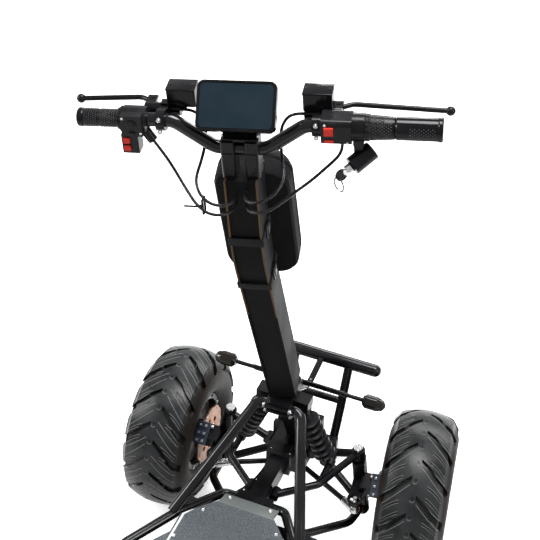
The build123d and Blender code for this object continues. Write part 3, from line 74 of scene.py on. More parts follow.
# Edges that turn by more stay sharp on a piece, and are rounded on the bag's bands
SHARP_FROM = math.radians(32)
BAND_EDGE_FROM = 0.6

# The tyres' tread, in millimetres, and how many grooves go round each side
TREAD_RADIUS = 180
TREAD_PITCHES = 15

steering_axis = Vector((0, -math.sin(RAKE), math.cos(RAKE)))
turned_bar = (
    Matrix.Translation(STEERING_FOOT)
    @ Matrix.Rotation(BAR_TURN, 4, steering_axis)
    @ Matrix.Translation(-STEERING_FOOT)
)
bar_direction = turned_bar.to_3x3() @ Vector((1, 0, 0))
joints = {joint["name"]: joint for joint in frame["joints"]}


def spot(x, y, z):
    """A point given in millimetres, its y counted from the front axle."""
    return Vector((x / 1000, FRONT_AXLE_Y + y / 1000, z / 1000))


def on_bar(x, y, z):
    """A point given in millimetres from the handlebar's middle."""
    return BAR_CENTRE + Vector((x, y, z)) / 1000


def wheel_axes(axle):
    """The directions across an axle: level, and as upright as it can be."""
    forward = UP.cross(axle).normalized()
    return forward, axle.cross(forward)


def around(axes, angle):
    """The direction at an angle from the first of two axes towards the second."""
    first, second = axes
    return first * math.cos(angle) + second * math.sin(angle)


def spread(axes, count, start=0.0):
    """Evenly spaced directions, the first one a share of a step past the first axis."""
    return [around(axes, (step + start) * 2 * math.pi / count) for step in range(count)]


# ---------------------------------------------------------------- finishes


class Signal:
    """What one socket gives, with arithmetic that adds the nodes for it."""

    def __init__(self, shader, socket):
        self.shader = shader
        self.socket = socket

    def maths(self, operation, *values):
        return self.shader.maths(operation, *values)

    def __add__(self, other):
        return self.maths("ADD", self, other)

    def __radd__(self, other):
        return self.maths("ADD", other, self)

    def __sub__(self, other):
        return self.maths("SUBTRACT", self, other)

    def __rsub__(self, other):
        return self.maths("SUBTRACT", other, self)

    def __mul__(self, other):
        return self.maths("MULTIPLY", self, other)

    def __rmul__(self, other):
        return self.maths("MULTIPLY", other, self)

    def __pow__(self, other):
        return self.maths("POWER", self, other)

    def __gt__(self, other):
        return self.maths("GREATER_THAN", self, other)

    def __lt__(self, other):
        return self.maths("LESS_THAN", self, other)

    def __abs__(self):
        return self.maths("ABSOLUTE", self)


class Shader:
    """A node tree, and the one method that adds any node to it."""

    def __init__(self, tree):
        self.tree = tree

    def plug(self, socket, value):
        if isinstance(value, Signal):
            self.tree.links.new(value.socket, socket)
        else:
            socket.default_value = value

    def node(self, kind, settings=None, values=None, output=0):
        """Any node: its settings first, then the values or links of its sockets."""
        made = self.tree.nodes.new(kind)
        for name, value in (settings or {}).items():
            setattr(made, name, value)
        for name, value in (values or {}).items():
            self.plug(made.inputs[name], value)
        return Signal(self, made.outputs[output])

    def maths(self, operation, *values):
        return self.node("ShaderNodeMath", {"operation": operation}, dict(enumerate(values)))

    def ray(self, kind):
        """1 where the ray is of a kind, such as a camera ray."""
        return self.node("ShaderNodeLightPath", output=f"Is {kind} Ray")


class Finish(Shader):
    """A material around one Principled shader."""

    def __init__(self, name, **fixed):
        self.material = bpy.data.materials.new(name)
        self.material.use_nodes = True
        super().__init__(self.material.node_tree)
        self.principled = self.tree.nodes["Principled BSDF"]
        for key, value in fixed.items():
            self.set(key.replace("_", " "), value)
        self.place = self.node("ShaderNodeTexCoord", output="Object")

    def set(self, name, value):
        self.plug(self.principled.inputs[name], value)

    def noise(self, scale, detail=2.0, vector=None):
        values = {"Vector": vector or self.place, "Scale": scale, "Detail": detail}
        return self.node("ShaderNodeTexNoise", values=values)

    def cells(self, scale, feature="F1"):
        settings = {"feature": feature}
        return self.node("ShaderNodeTexVoronoi", settings, {"Vector": self.place, "Scale": scale})

    def vector(self, operation, *values, output=0):
        values = dict(enumerate(values))
        return self.node("ShaderNodeVectorMath", {"operation": operation}, values, output)

    def along(self, direction, centre=(0, 0, 0)):
        """How far a point lies along a direction from a centre."""
        offset = self.vector("SUBTRACT", self.place, tuple(centre))
        return self.vector("DOT_PRODUCT", offset, tuple(direction), output="Value")

    def distance(self, centre):
        return self.vector("DISTANCE", self.place, tuple(centre), output="Value")

    def facing(self, direction):
        normal = self.node("ShaderNodeNewGeometry", output="Normal")
        return abs(self.vector("DOT_PRODUCT", normal, tuple(direction), output="Value"))

    def soft_step(self, value, low, high):
        values = {"Value": value, "From Min": low, "From Max": high}
        return self.node("ShaderNodeMapRange", {"interpolation_type": "SMOOTHSTEP"}, values)

    def clouds(self, scale, detail, low, high):
        """Soft patches of noise, from nothing at a low level to full at a high one."""
        return self.soft_step(self.noise(scale, detail), low, high)

    def mix(self, factor, first, second):
        """A blend of two colours, given as linear values or as signals."""
        first, second = ((*c, 1) if isinstance(c, tuple) else c for c in (first, second))
        values = {0: factor, 6: first, 7: second}
        return self.node("ShaderNodeMix", {"data_type": "RGBA"}, values, output=2)

    def wave(self, direction, scale):
        """Bands that rise and fall along an axis."""
        values = {"Vector": self.place, "Scale": scale}
        return self.node("ShaderNodeTexWave", {"bands_direction": direction}, values)

    def bump(self, height, strength, distance=0.001):
        values = {"Height": height, "Strength": strength, "Distance": distance}
        self.set("Normal", self.node("ShaderNodeBump", values=values))

    def vary(self, dark, light, rough_low, rough_high, scale=14):
        """Handling marks: the colour and the sheen drift slowly over the surface."""
        cloud = self.clouds(scale, 4.0, 0.35, 0.7)
        self.set("Base Color", self.mix(cloud, dark, light))
        self.set("Roughness", cloud * (rough_high - rough_low) + rough_low)
        return cloud


def powder_coat(name, dark, light, low, high, grain=850, shine=0.3):
    finish = Finish(name, Specular_IOR_Level=shine)
    finish.vary(dark, light, low, high)
    finish.bump(finish.noise(grain, 2.0), 0.05, 0.0005)
    return finish


def moulded_plastic(name, dark, light, low, high):
    finish = Finish(name, Specular_IOR_Level=0.15)
    finish.vary(dark, light, low, high, 22)
    finish.bump(finish.cells(1500), 0.07, 0.0004)
    return finish


def brushed_metal(name, colour, rough, grain=(60, 900, 900)):
    finish = Finish(name, Metallic=1.0)
    stretched = finish.vector("MULTIPLY", finish.place, grain)
    lines = finish.noise(1.0, 3.0, stretched)
    finish.set("Roughness", lines * 0.16 + (rough - 0.06))
    shade = tuple(c * 0.78 for c in colour)
    finish.set("Base Color", finish.mix(lines, shade, colour))
    finish.bump(lines, 0.04, 0.0003)
    return finish


def clear_lamp(name, colour, light):
    finish = Finish(name, Roughness=0.12, Specular_IOR_Level=0.2)
    stripes = finish.wave("Z", 90.0)
    finish.set("Base Color", finish.mix(stripes, colour, light))
    finish.bump(stripes, 0.25, 0.001)
    return finish


def column_paint():
    """Satin black plates whose cut edges on the upper column carry a bronze line, a painted warm highlight."""
    finish = Finish("column_satin", Specular_IOR_Level=0.06)
    cloud = finish.clouds(9, 4.0, 0.35, 0.7)
    coat = finish.mix(cloud, (0.003, 0.003, 0.0035), (0.006, 0.006, 0.0065))
    # Painted highlight: the plates' edges above that height turn bronze and partly metallic
    across = abs(finish.along(bar_direction, STEERING_FOOT))
    upper = finish.along((0, 0, 1)) > WARM_HIGHLIGHT_FROM
    warm_edge_highlight = (across > COLUMN_PLATE_INNER) * (across < COLUMN_PLATE_OUTER)
    warm_edge_highlight = warm_edge_highlight * (finish.facing(bar_direction) < 0.5) * upper
    finish.set("Base Color", finish.mix(warm_edge_highlight, coat, (0.105, 0.064, 0.033)))
    finish.set("Metallic", warm_edge_highlight * 0.7)
    finish.set("Roughness", cloud * 0.12 + 0.5)
    finish.bump(finish.noise(700, 2.0), 0.07, 0.0005)
    return finish


def turned_disc(name, wheel):
    """Copper-coloured brake steel, turned round its wheel's axle and heat-marked."""
    finish = Finish(name, Metallic=1.0)
    # Counted from the wheel's centre, which lies outboard of the disc
    reach = finish.distance(wheel)
    rings = finish.maths("SINE", reach * 9000)
    heat = finish.clouds(35, 3.0, 0.3, 0.75)
    worn = finish.soft_step(reach, 0.078, 0.088)
    copper = finish.mix(heat, (0.38, 0.155, 0.06), (0.22, 0.085, 0.035))
    finish.set("Base Color", finish.mix(worn, copper, (0.28, 0.14, 0.075)))
    finish.set("Roughness", heat * 0.12 + rings * 0.03 + 0.3)
    finish.bump(rings, 0.06, 0.0003)
    return finish


def tipped_paint(name, end, reach):
    """Black all over, but bright steel within a reach of one end."""
    finish = Finish(name, Specular_IOR_Level=0.15)
    bright = finish.distance(end) < reach
    lines = finish.noise(240, 3.0)
    steel = finish.mix(lines, (0.46, 0.46, 0.47), (0.62, 0.62, 0.62))
    finish.set("Base Color", finish.mix(bright, (0.005, 0.005, 0.006), steel))
    finish.set("Metallic", bright)
    finish.set("Roughness", lines * 0.1 + 0.2)
    finish.bump(lines, 0.05, 0.0004)
    return finish


def tyre_rubber(name, centre, axle):
    """Moulded rubber whose lugs have raised edges with a painted highlight, and side grooves and a row of dimples
    darkened with painted shade.
    """
    finish = Finish(name, Specular_IOR_Level=0.18)
    forward, upright = wheel_axes(axle)
    out = finish.along(axle, centre) * 1000
    ahead = finish.along(forward, centre)
    above = finish.along(upright, centre)
    radius = (ahead * ahead + above * above) ** 0.5
    angle = finish.maths("ARCTAN2", ahead, above)
    across = abs(out)

    # Distance in millimetres from the middle of the nearest groove, counted along the tread
    pitch = 2 * math.pi * TREAD_RADIUS / TREAD_PITCHES
    start = angle * TREAD_RADIUS + across * 0.92 - 17.4 + (out < 0) * (pitch / 2)
    beside = (finish.maths("FRACT", start * (1 / pitch) + 40.5) - 0.5) * pitch
    edge = abs(abs(beside) - across * 0.07 - 7.4)
    ribs = finish.soft_step(edge, 1.5, 0.5) * (across > 9) * (across < 60)

    # Curved side grooves between two grooves of the solid, with raised edges; the grooves get painted shade and
    # the edges a painted highlight
    bow = across - 46
    branch = abs(abs(beside + bow * bow * 0.012) - 27 + across * 0.05)
    outer_half = finish.soft_step(across, 24, 28) * (across < 57)
    side_groove = finish.soft_step(branch, 2.6, 1.2) * outer_half
    side_edge = finish.soft_step(abs(branch - 3.1), 1.0, 0.4) * outer_half

    # Dimples down the middle, two to a pitch, each with a raised edge behind it; the dimples get painted shade and
    # the edges a painted highlight
    row = finish.maths("FRACT", angle * (TREAD_RADIUS * 2 / pitch) + 40.2)
    row = (row - 0.5) * (pitch / 2)
    dimple = finish.soft_step((out * out + row * row) ** 0.5, 3.6, 2.6)
    ring = abs((out * out + (row + 3.2) * (row + 3.2)) ** 0.5 - 4.4)
    row_edge = finish.soft_step(ring, 1.0, 0.3) * (row < -4)

    crown = finish.soft_step(radius, 0.1560, 0.1645)
    grain = finish.noise(420, 3.0)
    cloud = finish.clouds(26, 4.0, 0.3, 0.75)
    # Painted highlight on the raised edges and painted shade in the grooves and dimples; both also shape the bump
    raised_and_highlighted = crown * finish.maths("MAXIMUM", ribs, side_edge + row_edge)
    sunk_and_shaded = crown * finish.maths("MAXIMUM", side_groove, dimple)
    wall_colour = finish.mix(cloud, (0.0055, 0.0038, 0.0026), (0.0120, 0.0082, 0.0056))
    tread = finish.mix(cloud, (0.0105, 0.0112, 0.0118), (0.0230, 0.0240, 0.0245))
    colour = finish.mix(crown, wall_colour, tread)
    # Painted shade darkens the grooves and dimples, and a painted highlight lightens the raised edges
    colour = finish.mix(sunk_and_shaded * 0.8, colour, (0.003, 0.003, 0.003))
    finish.set("Base Color", finish.mix(raised_and_highlighted * 0.8, colour, (0.14, 0.14, 0.135)))
    finish.set("Roughness", (1 - crown) * 0.25 + cloud * 0.10 + grain * 0.08 + 0.22)
    rings = finish.maths("SINE", radius * 1300)
    wall = finish.soft_step(radius, 0.150, 0.140) * finish.soft_step(radius, 0.092, 0.098)
    finish.bump(wall * rings * 0.3 + raised_and_highlighted * 0.9 - sunk_and_shaded * 1.6 + grain * 0.25, 0.6, 0.0016)
    return finish


def grip_rubber(name, plain_from, plain_to):
    """Soft rubber with a diamond knurl, left plain on one length of the bar."""
    finish = Finish(name, Specular_IOR_Level=0.15)
    centre = turned_bar @ BAR_CENTRE
    along = finish.along(bar_direction, centre)
    up = finish.along(UP, centre)
    across = finish.along(bar_direction.cross(UP), centre)
    angle = finish.maths("ARCTAN2", up, across)
    first = finish.maths("SINE", along * 1250 + angle * 14)
    second = finish.maths("SINE", along * 1250 - angle * 14)
    plain = (along > plain_from) * (along < plain_to)
    knurl = finish.soft_step(first * second, -0.2, 0.5) * (1 - plain)
    finish.set("Base Color", finish.mix(knurl, (0.003, 0.003, 0.003), (0.016, 0.016, 0.016)))
    finish.set("Roughness", 0.22 + knurl * 0.22)
    finish.bump(knurl + finish.noise(900) * 0.1, 0.9, 0.0018)
    return finish


def deck_finish():
    """Grey-green painted nose, then the darker, rough grip sheet behind the fold, with a painted highlight along
    its edges.
    """
    finish = Finish("deck_grip", Specular_IOR_Level=0.15)
    back = finish.along((0, -1, 0), (0, DECK_FOLD_Y, 0))
    grip = finish.soft_step(back, 0.0, 0.0015) * (finish.facing(UP) > 0.6)
    grit = finish.cells(900)
    cloud = finish.clouds(12, 4.0, 0.3, 0.75)
    paint = finish.mix(cloud, (0.125, 0.140, 0.136), (0.175, 0.190, 0.182))
    fleck = finish.soft_step(grit, 0.1, 0.6)
    sheet = finish.mix(fleck, (0.190, 0.218, 0.236), (0.060, 0.066, 0.072))

    # A painted highlight: a light line along the deck's edges, whose half width grows from the nose to the
    # shoulder
    across = abs(finish.along((1, 0, 0)))
    behind = finish.along((0, -1, 0), (0, DECK_NOSE_Y, 0))
    span = {"Value": behind, "From Min": 0.0, "From Max": 0.090, "To Min": 0.058, "To Max": 0.114}
    half = finish.node("ShaderNodeMapRange", {"clamp": True}, span)
    line = finish.soft_step(abs(half - across - 0.0045), 0.0026, 0.0018)
    sheet = finish.mix(line, sheet, (0.72, 0.72, 0.70))
    finish.set("Base Color", finish.mix(grip, paint, sheet))
    finish.set("Roughness", 0.42 + grip * 0.42 + cloud * 0.06)
    finish.bump(grit * grip + finish.noise(800) * 0.1, 0.5, 0.0008)
    return finish


def woven(name, dark, light, scale, strength):
    """Cloth in a plain weave, its threads raised over and under each other."""
    finish = Finish(name, Specular_IOR_Level=0.08)
    first = finish.wave("Z", scale)
    second = finish.wave("X", scale)
    threads = first * (1 - second) + second * (1 - first)
    cloud = finish.clouds(18, 3.0, 0.3, 0.7)
    finish.set("Base Color", finish.mix(threads * 0.7 + cloud * 0.3, dark, light))
    finish.set("Roughness", 0.62 + threads * 0.2)
    finish.bump(threads, strength, 0.0006)
    return finish


def cable_sheath():
    finish = Finish("cable_sheath", Specular_IOR_Level=0.18)
    finish.vary((0.004, 0.004, 0.005), (0.008, 0.008, 0.009), 0.2, 0.34, 40)
    finish.bump(finish.noise(500), 0.08, 0.0004)
    return finish


def screen_glass():
    finish = Finish("screen_glass", Specular_IOR_Level=0.12)
    smear = finish.clouds(30, 3.0, 0.3, 0.8)
    finish.set("Roughness", smear * 0.08 + 0.07)
    finish.set("Base Color", finish.mix(smear, (0.007, 0.0145, 0.021), (0.010, 0.018, 0.0255)))
    return finish


BLACK = (0.003, 0.003, 0.0035)
finishes = {
    "black_metal": powder_coat("frame_powder_coat", BLACK, (0.006, 0.006, 0.007), 0.12, 0.20),
    "satin_black": powder_coat("satin_black", BLACK, (0.007, 0.007, 0.008), 0.20, 0.32, shine=0.15),
    "rim_black": powder_coat(
        "rim_black", (0.004, 0.004, 0.004), (0.010, 0.008, 0.007), 0.24, 0.38, grain=600
    ),
    # The caliper is black; its colour is lifted to grey-blue as a painted bluish highlight
    "caliper_blue": powder_coat(
        "caliper_painted_highlight", (0.024, 0.030, 0.044), (0.050, 0.060, 0.084), 0.12, 0.2, shine=0.5
    ),
    "spring": powder_coat("spring_coat", (0.010, 0.010, 0.011), (0.020, 0.020, 0.022), 0.25, 0.4),
    "battery": moulded_plastic("battery_wrap", (0.03, 0.03, 0.035), (0.045, 0.045, 0.05), 0.5, 0.6),
    "black_plastic": moulded_plastic(
        "moulded_plastic", (0.004, 0.004, 0.0045), (0.009, 0.009, 0.010), 0.2, 0.32
    ),
    "gloss_black": moulded_plastic("gloss_plastic", BLACK, (0.006, 0.006, 0.007), 0.08, 0.16),
    "red": moulded_plastic("red_plastic", (0.50, 0.022, 0.014), (0.60, 0.035, 0.022), 0.3, 0.42),
    "steel": brushed_metal("bright_steel", (0.60, 0.60, 0.61), 0.26),
    "amber": clear_lamp("smoked_lens", (0.007, 0.006, 0.005), (0.012, 0.010, 0.008)),
    "tail_red": clear_lamp("red_lens", (0.38, 0.008, 0.008), (0.52, 0.02, 0.015)),
    "deck": deck_finish(),
    "bag_shell": woven("bag_shell", (0.002, 0.002, 0.0025), (0.007, 0.007, 0.008), 260, 0.25),
    "strap": woven("strap_webbing", (0.008, 0.008, 0.008), (0.020, 0.020, 0.020), 420, 0.5),
    "cable": cable_sheath(),
    "screen": screen_glass(),
    "grip_rubber": grip_rubber("left_grip_rubber", -0.262, -0.225),
    "column": column_paint(),
    "throttle": grip_rubber("throttle_rubber", 0.225, 0.24),
}


def paint(obj, finish):
    obj.data.materials.clear()
    obj.data.materials.append(finish.material)


# Each wheel's centre and axle, as the joints give them
wheels = {}
for place in ("front_left", "front_right", "rear_left", "rear_right"):
    joint = joints[f"wheel_{place}_spin"]
    wheels[place] = (Vector(joint["pos_m"]), Vector(joint["axis"]).normalized())

# Nodes whose finish differs from their slot's
own_finish = {"column": "column", "shock_bodies": "spring", "twist_throttle": "throttle"}
for subpart in frame["record"]["subparts"]:
    node = subpart["node"]
    chosen = finishes.get(own_finish.get(node, subpart["material_slot"]))
    if chosen:
        paint(frame["nodes"][node], chosen)
for place, (centre, axle) in wheels.items():
    paint(frame["nodes"][f"tyre_{place}"], tyre_rubber(f"tyre_{place}_rubber", centre, axle))
for side in ("left", "right"):
    centre, axle = wheels[f"front_{side}"]
    paint(frame["nodes"][f"disc_{side}"], turned_disc(f"disc_{side}_copper", centre))
    knuckle = frame["nodes"][f"knuckle_{side}"]
    peak = max((vertex.co for vertex in knuckle.data.vertices), key=lambda point: point.z)
    paint(knuckle, tipped_paint(f"knuckle_{side}_paint", peak, 0.019))
    low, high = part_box(f"tie_rod_{side}")
    end = Vector((low.x if side == "left" else high.x, low.y, (low.z + high.z) / 2))
    paint(frame["nodes"][f"tie_rod_{side}"], tipped_paint(f"tie_rod_{side}_paint", end, 0.052))

lock_centre = spot(190, -264, 1169)
lock = Vector((-0.72, -0.55, -0.42)).normalized()
lock_nose = turned_bar @ (lock_centre + lock * 0.028)
for node in ("key", "key_lock"):
    paint(frame["nodes"][node], tipped_paint(f"{node}_paint", lock_nose, 0.0095))

# ---------------------------------------------------------------- shaping helpers


def add_shape(target, shape, place):
    """Put a finished small shape into a larger one."""
    shape.transform(place)
    mesh = bpy.data.meshes.new("shape")
    shape.to_mesh(mesh)
    shape.free()
    target.from_mesh(mesh)
    bpy.data.meshes.remove(mesh)


def make_piece(name, shape, body, slot, finish=None, turned=False):
    """Turn a finished shape into a piece that rides on a body, turned with the bar where asked.

    Its finish is that of its slot, unless another one is given.
    """
    if turned:
        shape.transform(turned_bar)
    bmesh.ops.recalc_face_normals(shape, faces=shape.faces)
    mesh = bpy.data.meshes.new(name)
    shape.to_mesh(mesh)
    shape.free()
    mesh.shade_smooth()
    mesh.set_sharp_from_angle(angle=SHARP_FROM)
    piece = bpy.data.objects.new(name, mesh)
    bpy.context.scene.collection.objects.link(piece)
    paint(piece, finish or finishes[slot])
    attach(piece, body)
    return piece


def facing_place(point, direction):
    """Stand a shape at a point with its own z along a direction."""
    turn = Vector(direction).to_track_quat("Z", "Y").to_matrix().to_4x4()
    return Matrix.Translation(point) @ turn


def bevel_edges(shape, edges, offset, segments):
    """Round the edges of a shape."""
    bmesh.ops.bevel(
        shape, geom=edges, offset=offset, segments=segments, profile=0.5, affect="EDGES",
        material=-1,
    )


def rounded_sheet(width, height, corner, segments):
    """A flat sheet in the xy plane with rounded corners."""
    shape = bmesh.new()
    bmesh.ops.create_grid(shape, x_segments=1, y_segments=1, size=0.5)
    bmesh.ops.scale(shape, vec=(width, height, 1), verts=shape.verts)
    bmesh.ops.bevel(
        shape, geom=shape.verts, offset=corner, segments=segments, profile=0.5, affect="VERTICES",
        material=-1,
    )
    return shape


def sweep_round(shape, points, centre, axis, steps):
    """Carry a closed outline once round an axis."""
    verts = [shape.verts.new(point) for point in points]
    edges = [shape.edges.new((a, b)) for a, b in zip(verts, verts[1:] + verts[:1])]
    bmesh.ops.spin(
        shape, geom=verts + edges, cent=centre, axis=axis, angle=2 * math.pi, steps=steps,
        use_merge=True,
    )
    bmesh.ops.remove_doubles(shape, verts=shape.verts, dist=1e-6)


# Radius, height and number of sides of each kind of screw head
RIM_BOLT = (0.0034, 0.0028, 12)
HUB_NUT = (0.0030, 0.0035, 12)
DISC_BOLT = (0.0027, 0.0018, 12)
CALIPER_BOLT = (0.0030, 0.0022, 14)
CALIPER_PIN = (0.0024, 0.0016, 14)
CALIPER_MOUNT = (0.0042, 0.0040, 14)
BAR_SCREW = (0.0034, 0.0040, 18)
CLAMP_SCREW = (0.0032, 0.0030, 18)
CAP_SCREW = (0.0026, 0.0012, 12)
POD_SCREW = (0.0022, 0.0012, 12)
COLUMN_SCREW = (0.0036, 0.0030, 18)
COLLAR_BOLT = (0.0042, 0.0040, 18)
PLATE_BOLT = (0.0045, 0.0025, 18)
BULKHEAD_BOLT = (0.0040, 0.0040, 18)
DECK_SCREW = (0.0038, 0.0016, 14)


def face_height(face):
    return face.calc_center_median().z


def bolt(target, point, direction, size):
    """A screw's chamfered head with a round socket sunk in it."""
    radius, height, sides = size
    shape = bmesh.new()
    up = Matrix.Translation((0, 0, height / 2))
    bmesh.ops.create_cone(
        shape, cap_ends=True, segments=sides, radius1=radius, radius2=radius, depth=height,
        matrix=up,
    )
    top = max(shape.faces, key=face_height)
    bevel_edges(shape, list(top.edges), radius * 0.2, 2)
    top = max(shape.faces, key=lambda face: (round(face_height(face), 6), len(face.verts)))
    bmesh.ops.inset_individual(shape, faces=[top], thickness=radius * 0.32)
    bmesh.ops.translate(shape, verts=top.verts, vec=(0, 0, -height * 0.45))
    add_shape(target, shape, facing_place(point, direction))


def washer(target, point, direction, outer, inner, height):
    """A flat ring with softened edges."""
    shape = bmesh.new()
    edge = height * 0.2
    shoulder = [(outer, 0, height - edge), (outer - edge, 0, height)]
    section = [(inner, 0, 0), (outer, 0, 0), *shoulder, (inner, 0, height)]
    sweep_round(shape, section, (0, 0, 0), (0, 0, 1), 28)
    bmesh.ops.recalc_face_normals(shape, faces=shape.faces)
    add_shape(target, shape, facing_place(point, direction))


def rounded_box(target, centre, size, edge, turn=Matrix.Identity(4)):
    """A block with rounded edges."""
    shape = bmesh.new()
    bmesh.ops.create_cube(shape, size=1.0)
    bmesh.ops.scale(shape, vec=size, verts=shape.verts)
    bevel_edges(shape, shape.edges, edge, 3)
    add_shape(target, shape, Matrix.Translation(centre) @ turn)


# ---------------------------------------------------------------- wheels

for place, (centre, axle) in wheels.items():
    forward, upright = wheel_axes(axle)
    axes = (-forward, upright)
    bead_bolts = bmesh.new()
    for face in (-1, 1):
        for out in spread(axes, 12, 0.5):
            point = centre + axle * face * RIM_FACE + out * RIM_BOLT_RADIUS
            bolt(bead_bolts, point, axle * face, RIM_BOLT)
    make_piece(f"bead_bolts_{place}", bead_bolts, f"wheel_{place}", "steel")
    if "rear" in place:
        continue
    outboard = axle * (-1 if "left" in place else 1)
    hub_face = centre + outboard * HUB_FACE
    hub_nuts = bmesh.new()
    washer(hub_nuts, hub_face, outboard, 0.019, 0.0112, 0.002)
    for out in spread(axes, 5):
        bolt(hub_nuts, hub_face + out * HUB_BOLT_RADIUS, outboard, HUB_NUT)
    make_piece(f"hub_nuts_{place}", hub_nuts, f"wheel_{place}", "steel")

# Bolts and bleed screw on each caliper, and the disc's bolts, placed in their wheel's own frame
for side, inward_sign in (("left", 1), ("right", -1)):
    centre, axle = wheels[f"front_{side}"]
    inward = axle * inward_sign
    forward, upright = wheel_axes(axle)
    radial = around((upright, -forward), CALIPER_TILT)
    tangent = around((forward, upright), CALIPER_TILT)
    middle = centre + inward * CALIPER_INBOARD
    fittings = bmesh.new()
    # Two rows over the caliper's top, two mounts on its inner face, and the bleed screw at an end
    for shift in (-0.017, 0, 0.017):
        top = middle + radial * 0.0812 + tangent * shift
        bolt(fittings, top + inward * 0.006, radial, CALIPER_BOLT)
        bolt(fittings, top - inward * 0.006, radial, CALIPER_PIN)
    for shift in (-0.018, 0.018):
        mount = middle + inward * 0.0146 + radial * 0.066 + tangent * shift
        bolt(fittings, mount, inward, CALIPER_MOUNT)
    bleed = middle + radial * 0.074 + tangent * 0.0252
    washer(fittings, bleed, tangent, 0.0034, 0.0004, 0.003)
    washer(fittings, bleed + tangent * 0.003, tangent, 0.0022, 0.0004, 0.007)
    make_piece(f"caliper_bolts_{side}", fittings, f"corner_{side}", "steel")
    disc_bolts = bmesh.new()
    for out in spread((forward, upright), 6, 0.5):
        point = centre + inward * DISC_FACE + out * DISC_BOLT_RADIUS
        bolt(disc_bolts, point, inward, DISC_BOLT)
    make_piece(f"disc_bolts_{side}", disc_bolts, f"wheel_front_{side}", "steel")

# ---------------------------------------------------------------- handlebar fittings

screws = bmesh.new()
for side in (-1, 1):
    for shift in (-1, 1):
        bolt(screws, on_bar(side * 122, -17.2, shift * 11), (0, -1, 0), BAR_SCREW)
        bolt(screws, on_bar(side * 19 + shift * 8, 0, -25.8), (0, 0, 1), CLAMP_SCREW)
make_piece("bar_screws", screws, "steering", "steel", turned=True)

caps = bmesh.new()
for x in (-94, 120):
    middle = on_bar(x, 36, 41.6)
    rounded_box(caps, middle, (0.047, 0.033, 0.003), 0.0012)
    for along in (-1, 1):
        bolt(caps, middle + Vector((along * 0.018, 0, 0.0014)), (0, 0, 1), CAP_SCREW)
make_piece("reservoir_caps", caps, "steering", "gloss_black", turned=True)

# A raised lip round the display, whose face leans back towards the rider
lip = rounded_sheet(0.1220, 0.0758, 0.011, 6)
inset = bmesh.ops.inset_region(
    lip, faces=lip.faces, thickness=0.0022, use_even_offset=True, use_boundary=True
)
inner = [face for face in lip.faces if face not in inset["faces"]]
bmesh.ops.delete(lip, geom=inner, context="FACES")
lift = bmesh.ops.extrude_face_region(lip, geom=lip.faces)
lifted = [part for part in lift["geom"] if isinstance(part, bmesh.types.BMVert)]
bmesh.ops.translate(lip, verts=lifted, vec=(0, 0, 0.0010))
display_turn = Matrix.Rotation(DISPLAY_TILT, 4, "X")
display_lift = Matrix.Translation((0, 0, 0.0001))
lip.transform(Matrix.Translation(DISPLAY_CENTRE) @ display_turn @ display_lift)
make_piece("display_bezel", lip, "steering", "gloss_black", turned=True)

# Moulded dots on the grips: from where to where along the bar, the radii at both ends, and the
# steps of 15 degrees that they take up
DOTS = (
    (0.2050, 0.2350, 0.0193, 0.0176, 0, 24),
    (0.2640, 0.3010, 0.0181, 0.0181, 10, 14),
    (-0.2440, -0.2260, 0.0141, 0.0141, 0, 24),
    (-0.2180, -0.1960, 0.0141, 0.0141, 0, 24),
)
DOT_SPACING = 0.0034
dots = bmesh.new()
for start, end, first, last, low, high in DOTS:
    rows = round((end - start) / DOT_SPACING)
    for row in range(rows + 1):
        share = row / rows
        middle = BAR_CENTRE + Vector((start + (end - start) * share, 0, 0))
        for step in range(low, high):
            out = around((Vector((0, 1, 0)), UP), (step + row % 2 / 2) * math.pi / 12)
            dot = bmesh.new()
            bmesh.ops.create_cone(
                dot, cap_ends=True, segments=6, radius1=0.0013, radius2=0.0007, depth=0.0012
            )
            add_shape(dots, dot, facing_place(middle + out * (first + (last - first) * share), out))
# The dots are coloured far lighter than the grip as a painted highlight on each dot
dot_rubber_painted_highlight = moulded_plastic("dot_rubber_painted_highlight", (0.045, 0.047, 0.05), (0.075, 0.078, 0.08), 0.2, 0.3)
make_piece("grip_dots", dots, "steering", "grip_rubber", dot_rubber_painted_highlight, turned=True)

# The key's ring hangs from its head
WIRE = 0.0013
ring = bmesh.new()
ring_middle = lock_centre + lock * 0.041 + Vector((-0.004, -0.003, -0.016))
ring_axis = Vector((0.7, 0.71, 0)).normalized()
ring_top = ring_middle + UP * 0.0115
wire = [ring_top + offset * WIRE for offset in (UP, ring_axis, -UP, -ring_axis)]
sweep_round(ring, wire, ring_middle, ring_axis, 36)
ring_steel = brushed_metal("ring_steel", (0.16, 0.16, 0.17), 0.3)
make_piece("key_ring", ring, "steering", "steel", ring_steel, turned=True)

# Round push button and its collar on the left pod, and the sliding switch under it
buttons = bmesh.new()
button = on_bar(-166, -23.1, 2)
washer(buttons, button, (0, -1, 0), 0.0085, 0.0055, 0.0022)
washer(buttons, button, (0, -1, 0), 0.0052, 0.0002, 0.0032)
rounded_box(buttons, on_bar(-166, -24, -12), (0.011, 0.0030, 0.005), 0.0012)
make_piece("pod_buttons", buttons, "steering", "gloss_black", turned=True)

# Small screws that close the pods, and the column's own screws
pod_screws = bmesh.new()
for x, z in ((-179, 14), (-152, -12), (136, 15), (170, -15)):
    bolt(pod_screws, on_bar(x, -23.1, z), (0, -1, 0), POD_SCREW)
make_piece("pod_screws", pod_screws, "steering", "steel", turned=True)

column_screws = bmesh.new()
for x in (-15, 15):
    for y in (-16, 22):
        bolt(column_screws, on_bar(x, y, -94.9), (0, 0, 1), COLUMN_SCREW)
make_piece("column_screws", column_screws, "steering", "steel", turned=True)

# ---------------------------------------------------------------- frame fittings

